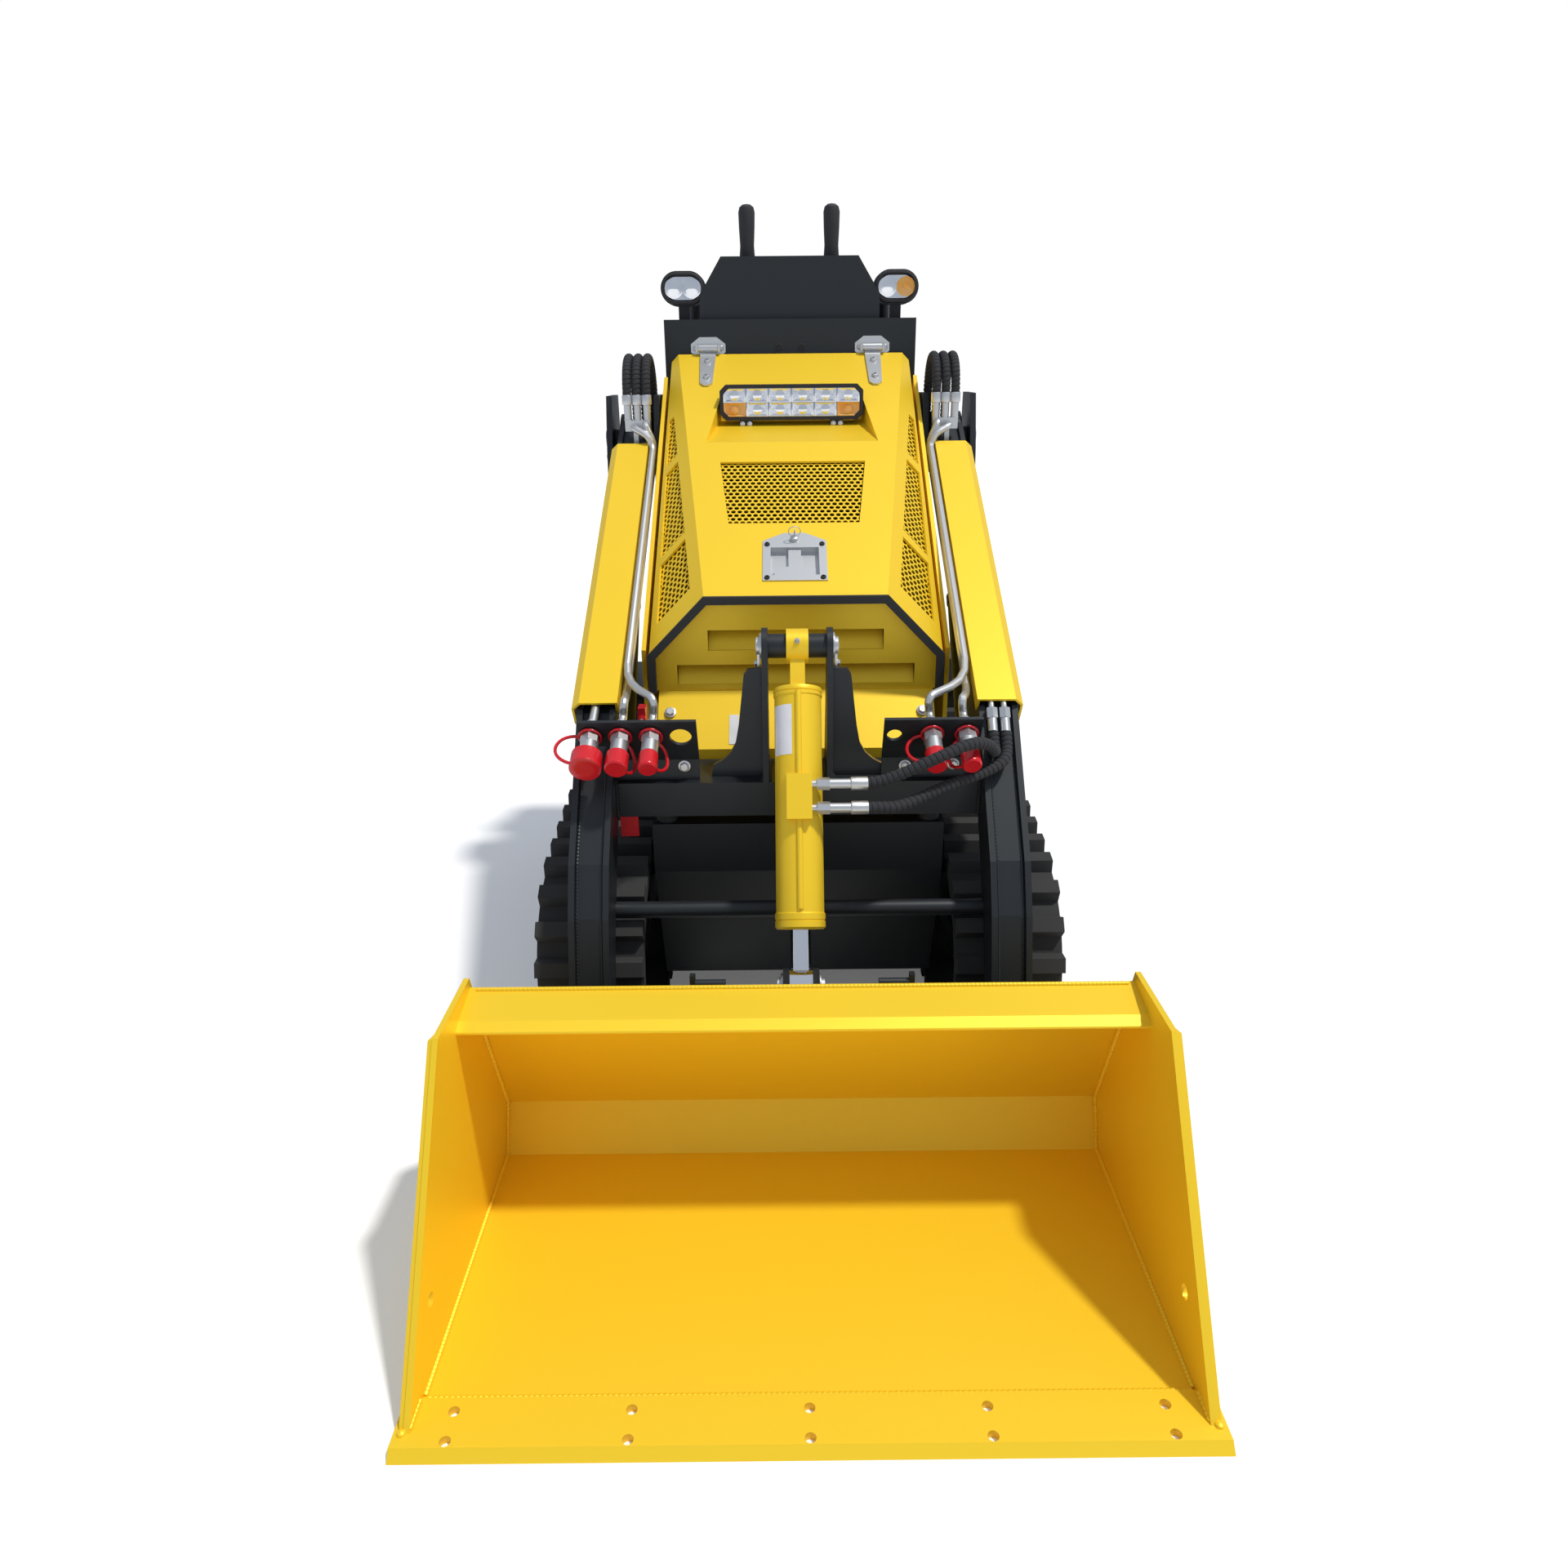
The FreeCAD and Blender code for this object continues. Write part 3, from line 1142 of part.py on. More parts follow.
def make_chassis():
    front = behind(s.tub_front_y)
    rear = behind(tub_rear)
    low_front = (front + s.tub_nose, s.tub_bottom_z)
    side = [(front, s.tub_top_z), (front, s.tub_top_z - s.tub_nose), low_front,
            (rear - s.tub_nose, s.tub_bottom_z), (rear, s.tub_bottom_z + s.tub_nose),
            (rear, s.tub_top_z)]
    wall = s.tub_wall
    hollow = [(front + s.panel_front_y - s.tub_front_y, s.tub_top_z + 1),
              (front + s.tub_nose + wall, s.tub_top_z - s.tub_nose),
              (front + s.tub_nose + wall, s.tub_bottom_z + wall),
              (rear - s.tub_nose, s.tub_bottom_z + wall),
              (rear - s.tub_nose, s.tub_top_z + 1)]
    outer = plate("tub_outer", "side", side, -s.tub_half_width, s.tub_half_width)
    inner = plate("tub_inner", "side", hollow, -s.tub_half_width + wall, s.tub_half_width - wall)
    node("chassis_tub", cut("tub", outer, inner))

    node("engine_block", block("engine", (-s.engine_half_width, s.engine_half_width),
                               (behind(s.engine_front_y), behind(s.engine_rear_y)),
                               (s.tub_bottom_z + wall, s.engine_top_z)))

    floor_top = s.tower_floor_z
    floor = block("tower_floor", (s.tub_half_width, s.tower_outer + s.tower_plate),
                  (behind(s.tower_front_y), behind(s.tower_rear_y)),
                  (floor_top - s.tower_plate, floor_top))
    foot = block("tower_foot", (s.tub_half_width, s.tub_half_width + s.tub_wall),
                 (behind(s.tower_front_y), behind(s.tower_rear_y)),
                 (s.tub_top_z - 80, floor_top))
    points = [(behind(s.tower_front_y), floor_top), (behind(s.tower_rear_y), floor_top),
              (behind(s.tower_rear_y), s.arm_pivot_z - 120), (behind(s.tower_top_y), s.tower_top_z),
              (behind(s.arm_pivot_y) - 40, s.tower_top_z),
              (behind(s.arm_pivot_y) - 75, s.arm_pivot_z - 20)]
    tower = [floor, foot]
    for place, start in (("in", s.tower_inner), ("out", s.tower_outer)):
        tower.append(plate("tower_web_" + place, "side", points, start, start + s.tower_plate))
    tower.append(cylinder("arm_pin", "x", (behind(s.arm_pivot_y), s.arm_pivot_z), s.axle_radius,
                          s.tower_inner, s.tower_outer + s.tower_plate + 8))
    right = fuse("tower_whole", tower)
    node("arm_tower_right", right)
    node("arm_tower_left", mirrored("tower_left", right))

    lug_in = s.lift_x - s.eye_half_width - s.pin_gap - s.ear_plate
    lug_out = s.lift_x + s.eye_half_width + s.pin_gap
    base_y = behind(s.lift_base_y)
    reach = s.lift_eye_radius + 14
    shelf = block("lift_shelf", (s.tub_half_width, lug_out + s.ear_plate),
                  (base_y - reach, base_y + reach), (s.lift_bracket_z, s.lift_bracket_z + 10))
    leg = block("lift_leg", (s.tub_half_width, s.tub_half_width + s.tub_wall),
                (base_y - reach, base_y + reach), (s.lift_bracket_z - 70, s.lift_bracket_z + 10))
    lug = [(base_y - reach, s.lift_bracket_z + 9), (base_y + reach, s.lift_bracket_z + 9),
           (base_y + s.lift_eye_radius, s.lift_base_z), (base_y - s.lift_eye_radius, s.lift_base_z)]
    solids = [shelf, leg]
    for place, start in (("in", lug_in), ("out", lug_out)):
        solids.append(plate("lift_lug_" + place, "side", lug, start, start + s.ear_plate))
        solids.append(cylinder("lift_lug_top_" + place, "x", (base_y, s.lift_base_z),
                               s.lift_eye_radius, start, start + s.ear_plate))
    solids.append(cylinder("lift_pin", "x", (base_y, s.lift_base_z), s.pin_radius,
                           lug_in - 5, lug_out + s.ear_plate + 5))
    node("lift_brackets", both_sides("lift_bracket_pair", fuse("lift_bracket", solids)))

    stop = cylinder("bump_stop", "z", (s.stop_x, behind(s.stop_y)), s.stop_radius,
                    s.tub_top_z, s.cross_z - s.pin_gap)
    node("bump_stops", both_sides("stop_pair", stop))


# The shoulders are flat sheets, so their rear edge follows from the other three.
shoulder_rear_z = s.hood_rear_z - (s.hood_half_width - s.hood_flat_rear) * (
    (s.hood_front_z - s.hood_shoulder_front_z) / (s.hood_half_width - s.hood_flat_front))


def make_body():
    """Side panels, sloping ledge and front panel round the engine bay."""
    rise = (shoulder_rear_z - s.hood_shoulder_front_z) / (s.hood_rear_y - s.hood_front_y)
    front_top = s.hood_shoulder_front_z + rise * (s.panel_front_y - s.hood_front_y) - 14
    rear_top = s.hood_shoulder_front_z + rise * (s.panel_rear_y - s.hood_front_y) - 14
    side = [(behind(s.panel_front_y), s.tower_floor_z), (behind(s.panel_front_y), front_top),
            (behind(s.panel_rear_y), rear_top), (behind(s.panel_rear_y), s.tower_floor_z)]
    panel_in = s.tub_half_width + s.panel_outset
    panel = plate("side_panel", "side", side, panel_in, panel_in + s.panel_sheet)
    length = (behind(s.panel_front_y), behind(s.panel_rear_y))
    sill = block("side_panel_sill", (s.tub_half_width - s.tub_wall, s.tub_half_width), length,
                 (s.tub_top_z, s.tower_floor_z + s.sheet))
    step = block("side_panel_step", (s.tub_half_width - s.tub_wall, panel_in + 1),
                 length, (s.tower_floor_z, s.tower_floor_z + s.sheet))
    node("side_panels", both_sides("panel_pair", fuse("panel_whole", [panel, sill, step])))

    mid = s.sheet / 2
    ledge = [(behind(s.ledge_front_y), s.tub_top_z + mid), (behind(s.ledge_front_y), s.ledge_front_z),
             (behind(s.ledge_rear_y), s.ledge_rear_z),
             (behind(s.grille_y) + s.sheet, s.ledge_rear_z)]
    wide = s.tub_half_width - s.ledge_inset
    node("front_ledge", folded("ledge", ledge, s.sheet, -wide, wide))

    low = s.ledge_rear_z + mid
    shoulder = s.hood_shoulder_front_z - 8
    top = s.hood_front_z - s.hood_sheet - 6
    half = s.grille_half_width
    flat = s.hood_flat_front - 8
    front = [(-half, low), (half, low), (half, shoulder), (flat, top), (-flat, top),
             (-half, shoulder)]
    sheet_solid = plate("front_panel", "front", front, behind(s.grille_y),
                        behind(s.grille_y) + s.sheet)
    slots = []
    louvres = []
    face = behind(s.grille_y)
    back = face + s.sheet
    for number, (wide, z) in enumerate(((s.slot_low_half, s.slot_low_z),
                                        (s.slot_high_half, s.slot_high_z))):
        slots.append(block("panel_slot_%d" % number, (-wide, wide), (face - 1, back + 1),
                           (z, z + s.slot_height)))
        louvre = [(back - 1, z - s.sheet * 2), (back - 1, z - s.sheet),
                  (back + s.louvre_depth, z + s.slot_height + s.sheet),
                  (back + s.louvre_depth, z + s.slot_height)]
        louvres.append(plate("louvre_%d" % number, "side", louvre, -wide, wide))
    cut_panel = cut("front_panel_cut", sheet_solid, fuse("panel_slots", slots))
    node("front_grille", fuse("front_panel_whole", [cut_panel] + louvres))


hood_slope = (s.hood_rear_z - s.hood_front_z) / (s.hood_rear_y - s.hood_front_y)


def hood_top(y):
    """Height of the hood's top face at this distance behind the lip."""
    return s.hood_front_z + hood_slope * (y - s.hood_front_y)


def hood_corners(points):
    """Places on the hood's top face, from their X and their distance behind the lip."""
    return [point(x, behind(y), hood_top(y)) for x, y in points]


def shoulder_point(side, share, inwards):
    """A place on a shoulder: a share of the hood's length, and of the shoulder's width."""
    y = s.hood_front_y + (s.hood_rear_y - s.hood_front_y) * share
    crease = s.hood_flat_front + (s.hood_flat_rear - s.hood_flat_front) * share
    low_z = s.hood_shoulder_front_z + (shoulder_rear_z - s.hood_shoulder_front_z) * share
    x = crease + (s.hood_half_width - crease) * inwards
    z = hood_top(y) + (low_z - hood_top(y)) * inwards
    return point(x * side, behind(y), z)


# Windows in each shoulder: shares of the hood's length where they start and end.
SHOULDER_WINDOWS = ((0.07, 0.245), (0.27, 0.55), (0.58, 0.75))


def shoulder_window(side, first, last, lap):
    """Corners of a window in a shoulder, made larger all round by its lap."""
    run = float(s.hood_rear_y - s.hood_front_y)
    rim = []
    for share, way in ((first - lap / run, 1), (last + lap / run, -1)):
        crease = float(s.hood_flat_front + (s.hood_flat_rear - s.hood_flat_front) * share)
        width = math.sqrt(2) * (float(s.hood_half_width) - crease)
        upper = (float(s.window_inset) - lap) / width
        rim.append((share, min(upper, 0.7), 0.88 + lap / width * 0.5))
    (near, near_in, near_out), (far, far_in, far_out) = rim
    return [shoulder_point(side, near, near_in), shoulder_point(side, near, near_out),
            shoulder_point(side, far, far_out), shoulder_point(side, far, far_in)]


def make_hood():
    """A faceted shell: flat top, slanted shoulders and short sides, swept backwards."""
    def section(name, y, flat, top, shoulder, edge, inset):
        half = s.hood_half_width - inset
        points = [(-half, edge), (half, edge), (half, shoulder - inset * 0.4),
                  (flat - inset * 0.4, top - inset), (-flat + inset * 0.4, top - inset),
                  (-half, shoulder - inset * 0.4)]
        return outline(name, "front", points, behind(y))

    def loft(name, sections):
        solid = doc.addObject("Part::Loft", name)
        solid.Sections = sections
        solid.Solid = True
        solid.Ruled = True
        return solid
    skins = []
    for name, inset in (("outer", as_size(0)), ("inner", s.hood_sheet)):
        front = section("hood_front_" + name, s.hood_front_y, s.hood_flat_front, s.hood_front_z,
                        s.hood_shoulder_front_z, s.hood_edge_front_z, inset)
        rear = section("hood_rear_" + name, s.hood_rear_y, s.hood_flat_rear, s.hood_rear_z,
                       shoulder_rear_z, s.hood_edge_rear_z, inset)
        skins.append(loft("hood_loft_" + name, [front, rear]))

    # A wedge pocket, with its own floor and walls, let into the top for the light bar.
    floor_slope = (s.pocket_rear_z - hood_top(s.pocket_front_y)) / (
        s.pocket_rear_y - s.pocket_front_y)
    taper = (s.pocket_rear_half - s.pocket_front_half) / (s.pocket_rear_y - s.pocket_front_y)

    def pocket_floor(y):
        return hood_top(s.pocket_front_y) + floor_slope * (y - s.pocket_front_y)
    wedges = []
    for name, skin in (("void", as_size(0)), ("wall", s.hood_sheet)):
        sections = []
        for place, y in (("front", s.pocket_front_y - s.pocket_lead),
                         ("rear", s.pocket_rear_y + skin)):
            wide = s.pocket_front_half + taper * (y - s.pocket_front_y) + skin
            low = pocket_floor(y) - skin
            high = hood_top(y) + s.pocket_lead * 2
            sections.append(outline("pocket_%s_%s" % (place, name), "front",
                                    [(-wide, low), (wide, low), (wide, high), (-wide, high)],
                                    behind(y)))
        wedges.append(loft("pocket_loft_" + name, sections))
    walls = doc.addObject("Part::MultiCommon", "pocket_walls")
    walls.Shapes = [wedges[1], skins[0]]

    window = [(-s.window_front_half, s.window_front_y), (s.window_front_half, s.window_front_y),
              (s.window_rear_half, s.window_rear_y), (-s.window_rear_half, s.window_rear_y)]
    tray = [(-s.tray_half_width, s.tray_front_y), (s.tray_half_width, s.tray_front_y),
            (s.tray_half_width, s.tray_rear_y), (-s.tray_half_width, s.tray_rear_y)]
    through = (-s.hood_sheet * 2, s.hood_sheet)
    holes = [slab(hood_corners(window), *through), slab(hood_corners(tray), *through)]
    holes += [slab(shoulder_window(side, first, last, 0), *through)
              for side in (-1, 1) for first, last in SHOULDER_WINDOWS]
    openings = made("hood_openings", Part.makeCompound(holes))
    shell = cut("hood_hollow", skins[0], skins[1])
    pocketed = cut("hood_pocketed", fuse("hood_whole", [shell, walls]), wedges[0])
    node("hood_shell", cut("hood", pocketed, openings))

    lap = s.window_lap
    under = (-s.hood_sheet - s.grille_sheet, -s.hood_sheet)
    wider = [(x + lap * math.copysign(1, float(x)), y + way * lap)
             for (x, y), way in zip(window, (-1, -1, 1, 1))]
    grilles = [perforated(hood_corners(wider), *under, s.grille_pitch, s.grille_hole_radius)]
    grilles += [perforated(shoulder_window(side, first, last, float(lap)), *under,
                           s.grille_pitch, s.grille_hole_radius)
                for side in (-1, 1) for first, last in SHOULDER_WINDOWS]
    node("hood_grilles", made("grille_sheets", Part.makeCompound(grilles)))

    make_light_bar(pocket_floor)
    make_latch(tray)
    node("hood_trim", made("trim_shape", trim_shape()))
    make_hood_hinges()


def trim_shape():
    """The rubber edge round the hood's front: a bent strip just ahead of it."""
    lap = 2
    half, flat = s.hood_half_width + lap, s.hood_flat_front + lap * 0.4
    low, shoulder = s.hood_edge_front_z, s.hood_shoulder_front_z + lap * 0.4
    top = s.hood_front_z + lap
    rim = [(-half, low), (-half, shoulder), (-flat, top), (flat, top), (half, shoulder), (half, low)]
    loop = strip_outline([Vector(float(x), float(z), 0) for x, z in rim], float(s.trim_width))
    front = float(behind(s.hood_front_y) - s.pin_gap)
    corners = [Vector(corner.x, front, corner.y) for corner in loop]
    face = Part.Face(Part.makePolygon(corners + corners[:1]))
    return face.extrude(Vector(0, -float(s.trim_depth), 0))


def make_light_bar(pocket_floor):
    """A long lamp with a rim round its front, on two feet on the pocket's floor."""
    half, corner = s.light_half_width, s.light_corner
    low, high = s.light_low_z, s.light_high_z

    def rounded(name, inset, start, end):
        wide, bottom, top = half - inset, low + inset, high - inset
        points = [(-wide + corner, bottom), (wide - corner, bottom), (wide, bottom + corner),
                  (wide, top - corner), (wide - corner, top), (-wide + corner, top),
                  (-wide, top - corner), (-wide, bottom + corner)]
        return plate(name, "front", points, start, end)
    front = behind(s.light_y)
    case = cut("light_case", rounded("light_body", as_size(0), front, front + s.light_depth),
               rounded("light_front", s.light_rim, front - 1, front + s.light_recess))
    pieces = [case]
    for number, side in enumerate((-1, 1)):
        start = s.light_foot_x * side - s.light_foot_width / 2
        near, far = s.light_y + 4, s.light_y + s.light_depth - 4
        foot = [(behind(near), pocket_floor(near) + s.pin_gap),
                (behind(far), pocket_floor(far) + s.pin_gap),
                (behind(far), low + 1), (behind(near), low + 1)]
        pieces.append(plate("light_foot_%d" % number, "side", foot, start,
                            start + s.light_foot_width))
    node("light_bar", fuse("light_whole", pieces))


def make_latch(tray):
    """A paddle latch: a plate on the hood round a sunk tray with a T-shaped paddle."""
    wide = s.latch_half_width
    tip = wide / 3
    rim = [(-wide, s.latch_front_y), (wide, s.latch_front_y), (wide, s.latch_rear_y),
           (tip, s.latch_tip_y), (-tip, s.latch_tip_y), (-wide, s.latch_rear_y)]
    sheet_size = s.tray_sheet
    gap = s.pin_gap
    inner = [(x - (sheet_size + gap) * math.copysign(1, float(x)), y - (sheet_size + gap) * way)
             for (x, y), way in zip(tray, (-1, -1, 1, 1))]
    outer = [(x - gap * math.copysign(1, float(x)), y - gap * way)
             for (x, y), way in zip(tray, (-1, -1, 1, 1))]
    top = gap + sheet_size
    deep = -s.tray_depth
    rim_plate = slab(hood_corners(rim), gap, top).fuse(slab(hood_corners(outer), deep, top))
    hollow = slab(hood_corners(inner), deep + sheet_size, top + 1)
    stem, bar = s.tray_half_width / 4, s.tray_half_width * 0.8
    front, rear = s.tray_front_y + 6, s.tray_rear_y - 3
    paddle = [(-bar, front), (bar, front), (bar, front + 16), (stem, front + 20), (stem, rear),
              (-stem, rear), (-stem, front + 20), (-bar, front + 16)]
    handle = slab(hood_corners(paddle), deep + sheet_size - 1, -sheet_size)
    node("hood_latch", made("latch_shape", rim_plate.cut(hollow).fuse(handle)))


def make_hood_hinges():
    """Each hinge: a strap with its knuckle on the hood, a leaf with the pin behind it."""
    pin_y = behind(s.hood_hinge_y)
    pin_z = s.hood_hinge_z
    half = s.hinge_half_width
    low = (s.hinge_x - half, s.hinge_x + half)

    def on_hood(back, high):
        y = s.hood_rear_y - back
        return (behind(y), hood_top(y) + s.pin_gap + high)
    bend = s.hinge_radius * 2.5
    riser = plate("hinge_riser", "side",
                  [on_hood(bend, 0), on_hood(0, 0), on_hood(0, s.strap_sheet * 2),
                   on_hood(12, s.strap_sheet * 1.16), on_hood(bend, s.strap_sheet * 1.16)],
                  s.hinge_x - s.strap_half_width, s.hinge_x + s.strap_half_width)
    wide, tip = s.strap_half_width, s.strap_tip_half_width
    near, far = s.hood_rear_y - bend + 1, s.hood_rear_y - s.strap_length
    shape = [(s.hinge_x - wide, near), (s.hinge_x + wide, near), (s.hinge_x + tip, far + 8),
             (s.hinge_x + tip - 8, far), (s.hinge_x - tip + 8, far), (s.hinge_x - tip, far + 8)]
    strap = made("hinge_strap", slab(hood_corners(shape), s.pin_gap, s.pin_gap + s.strap_sheet))
    knuckle = cylinder("hinge_knuckle", "x", (pin_y, pin_z), s.hinge_radius, *low)
    bore = cylinder("hinge_bore", "x", (pin_y, pin_z), s.hinge_pin_radius + s.pin_gap,
                    low[0] - 1, low[1] + 1)
    strapped = cut("hinge_strap_bored", fuse("hinge_strap_whole", [strap, riser, knuckle]), bore)
    node("hood_straps", both_sides("strap_pair", strapped))
    gap = s.pin_gap * 2
    back = (pin_y - 6, behind(s.console_front_y))
    wide, bottom, top = s.leaf_half_width, s.leaf_low_z, s.leaf_high_z
    cheek = 6
    leaf = [(s.hinge_x + x, z) for x, z in (
        (-wide * 0.5, bottom), (wide * 0.5, bottom), (wide, bottom + 14), (wide, top - 14),
        (wide * 0.5, top), (-wide * 0.5, top), (-wide, top - 14), (-wide, bottom + 14))]
    pieces = [plate("hinge_leaf", "front", leaf, back[1] - s.strap_sheet, back[1]),
              block("hinge_cheek_near", (low[0] - cheek, low[0] - gap), back, (pin_z - 7, pin_z + 7)),
              block("hinge_cheek_far", (low[1] + gap, low[1] + cheek), back, (pin_z - 7, pin_z + 7)),
              cylinder("hinge_pin", "x", (pin_y, pin_z), s.hinge_pin_radius, low[0] - cheek,
                       low[1] + cheek)]
    node("hood_hinges", both_sides("hinge_pair", fuse("hinge_whole", pieces)))


def make_console():
    half = s.console_half_width
    front = behind(s.console_front_y)
    rear = behind(s.console_rear_y)
    side = [(front, s.console_bottom_z), (rear, s.console_bottom_z),
            (rear, s.console_top_z - 60), (rear - 60, s.console_top_z), (front, s.console_top_z)]
    wall = s.console_wall
    hollow = [(front + wall, s.console_bottom_z + wall), (rear - wall, s.console_bottom_z + wall),
              (rear - wall, s.console_top_z - 60 - wall * 0.4),
              (rear - 60 - wall * 0.4, s.console_top_z - wall), (front + wall, s.console_top_z - wall)]
    shell = cut("console_shell", plate("console_box", "side", side, -half, half),
                plate("console_hollow", "side", hollow, -half + wall, half - wall))
    base = block("console_base", (-s.tub_half_width + s.tub_wall, s.tub_half_width - s.tub_wall),
                 (front + 10, rear - 10), (s.tub_top_z, s.console_bottom_z + 1))
    base_hollow = block("console_base_hollow",
                        (-s.tub_half_width + s.tub_wall * 2, s.tub_half_width - s.tub_wall * 2),
                        (front + 10 + s.tub_wall, rear - 10 - s.tub_wall),
                        (s.tub_top_z - 1, s.console_bottom_z + 2))
    bulkheads = []
    reach = s.hose_x + s.hose_pitch * 3
    for number, side in enumerate((-1, 1)):
        ends = sorted((side * (half - 1), side * reach), key=float)
        bulkheads.append(block("bulkhead_%d" % number, ends,
                               (behind(s.bulkhead_y), behind(s.bulkhead_y) + s.bulkhead_sheet),
                               (s.bulkhead_z - 30, s.bulkhead_z + 25)))
    node("console", fuse("console_whole",
                         [shell, cut("console_plinth", base, base_hollow)] + bulkheads))
    top = s.console_top_z + s.plate_height
    points = [(-s.plate_bottom_half, s.console_top_z), (s.plate_bottom_half, s.console_top_z),
              (s.plate_bottom_half, s.console_top_z + s.plate_height * 0.4),
              (s.plate_top_half, top), (-s.plate_top_half, top),
              (-s.plate_bottom_half, s.console_top_z + s.plate_height * 0.4)]
    node("console_plate", plate("name_plate", "front", points, behind(s.plate_y),
                                behind(s.plate_y) + s.plate_sheet))
    grip_start = s.lever_top_z - s.grip_length
    lever = fuse("lever", [
        cylinder("lever_stem", "z", (s.lever_x, behind(s.lever_y)), s.lever_radius,
                 s.console_top_z, grip_start + 10),
        cylinder("lever_grip", "z", (s.lever_x, behind(s.lever_y)), s.grip_radius,
                 grip_start, s.lever_top_z)])
    node("control_levers", both_sides("lever_pair", lever))
    post_x = s.bar_half_width - s.bar_radius
    bar = fuse("bar_whole", [
        cylinder("bar_cross", "x", (behind(s.bar_y), s.bar_z), s.bar_radius,
                 -s.bar_half_width, s.bar_half_width)] + [
        cylinder("bar_post_%d" % number, "z", (side * post_x, behind(s.bar_y)), s.bar_radius,
                 s.console_top_z, s.bar_z) for number, side in enumerate((-1, 1))])
    node("hand_bar", bar)
    wide = s.lamp_half_width - s.lamp_half_height
    body = fuse("lamp_body", [
        block("lamp_middle", (s.lamp_x - wide, s.lamp_x + wide),
              (behind(s.lamp_y), behind(s.lamp_y) + s.lamp_depth),
              (s.lamp_z - s.lamp_half_height, s.lamp_z + s.lamp_half_height)),
        cylinder("lamp_near", "y", (s.lamp_x - wide, s.lamp_z), s.lamp_half_height,
                 behind(s.lamp_y), behind(s.lamp_y) + s.lamp_depth),
        cylinder("lamp_far", "y", (s.lamp_x + wide, s.lamp_z), s.lamp_half_height,
                 behind(s.lamp_y), behind(s.lamp_y) + s.lamp_depth),
        block("lamp_foot", (s.lamp_x - 12, s.lamp_x + 12),
              (behind(s.lamp_y) + 10, behind(s.lamp_y) + 30),
              (s.console_top_z, s.lamp_z - s.lamp_half_height + 4))])
    node("work_lamps", both_sides("lamp_pair", body))


def make_platform():
    half = s.platform_half_width
    front = behind(platform_hinge) + s.platform_hinge_radius + 4
    rear = -lip
    top = s.platform_z
    deck = block("platform_deck", (-half, half), (front, rear), (top - s.platform_sheet, top))
    rims = [block("platform_rim_%d" % number, (low, low + s.platform_sheet), (front, rear),
                  (top - s.platform_rim, top))
            for number, low in enumerate((-half, half - s.platform_sheet))]
    hinge_y = behind(platform_hinge)
    hinge_z = s.platform_z
    knuckles = []
    for number, side in enumerate((-1, 1)):
        middle = side * (half - 60)
        knuckles.append(cylinder("platform_knuckle_%d" % number, "x", (hinge_y, hinge_z),
                                 s.platform_hinge_radius, middle - 25, middle + 25))
        knuckles.append(block("platform_arm_%d" % number, (middle - 25, middle + 25),
                              (hinge_y, front + 2), (hinge_z - s.platform_sheet, hinge_z)))
    bore = cylinder("platform_bore", "x", (hinge_y, hinge_z), s.platform_pin_radius + s.pin_gap,
                    -half, half)
    node("operator_platform", cut("platform", fuse("platform_whole", [deck] + rims + knuckles), bore))
    lugs = []
    for number, side in enumerate((-1, 1)):
        middle = side * (half - 60)
        for end, start in enumerate((middle - 25 - s.pin_gap - s.ear_plate, middle + 25 + s.pin_gap)):
            lugs.append(block("platform_lug_%d_%d" % (number, end), (start, start + s.ear_plate),
                              (behind(tub_rear), hinge_y + 12), (hinge_z - 20, hinge_z + 10)))
        lugs.append(cylinder("platform_pin_%d" % number, "x", (hinge_y, hinge_z),
                             s.platform_pin_radius, middle - 25 - s.ear_plate, middle + 25 + s.ear_plate))
    node("platform_bracket", gather("platform_lugs", [fuse("platform_lugs_left", lugs[:3]),
                                                      fuse("platform_lugs_right", lugs[3:])]))


make_bucket()
make_attach_plate()
make_arms()
make_tilt_bracket()
make_covers()
make_cylinders()
make_couplers()
make_hoses()
make_lock_bar()
make_tracks()
make_chassis()
make_body()
make_hood()
make_console()
make_platform()

doc.recompute()


def check_and_write():
    """Stops if a feature failed or a sub-part has no sound shape, else writes them."""
    for feature in doc.Objects:
        if "Invalid" in feature.State or "Error" in feature.State:
            raise RuntimeError("%s failed: %s" % (feature.Label, feature.State))
    os.makedirs("parts", exist_ok=True)
    for label, feature in NODES:
        shape = feature.Shape
        if shape.isNull() or not shape.isValid() or shape.Volume <= 0:
            raise RuntimeError("%s has no sound shape" % label)
        shape.exportStep("parts/%s.step" % label)
        print("%-20s %3d solids %10.0f mm3" % (label, len(shape.Solids), shape.Volume))


check_and_write()
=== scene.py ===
"""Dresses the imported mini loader: finishes for its nodes, small pieces, hoses, stage and camera."""

import json
import math

import bmesh
import bpy
from mathutils import Matrix, Vector


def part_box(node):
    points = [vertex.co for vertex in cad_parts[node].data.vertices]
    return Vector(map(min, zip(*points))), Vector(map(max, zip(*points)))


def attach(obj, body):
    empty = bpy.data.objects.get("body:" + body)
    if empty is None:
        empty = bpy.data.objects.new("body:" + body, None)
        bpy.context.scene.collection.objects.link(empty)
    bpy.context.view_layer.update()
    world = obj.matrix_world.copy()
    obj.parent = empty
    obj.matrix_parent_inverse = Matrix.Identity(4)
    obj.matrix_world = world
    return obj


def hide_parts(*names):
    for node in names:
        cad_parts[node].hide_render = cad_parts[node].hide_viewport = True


bl_info = {
    "name": "Mini Loader Dressing",
    "version": (1, 0, 0),
    "blender": (4, 5, 0),
    "location": "View3D > Sidebar > Loader",
    "description": "Finishes and small pieces of a stand-on tracked mini loader",
    "category": "Object",
}

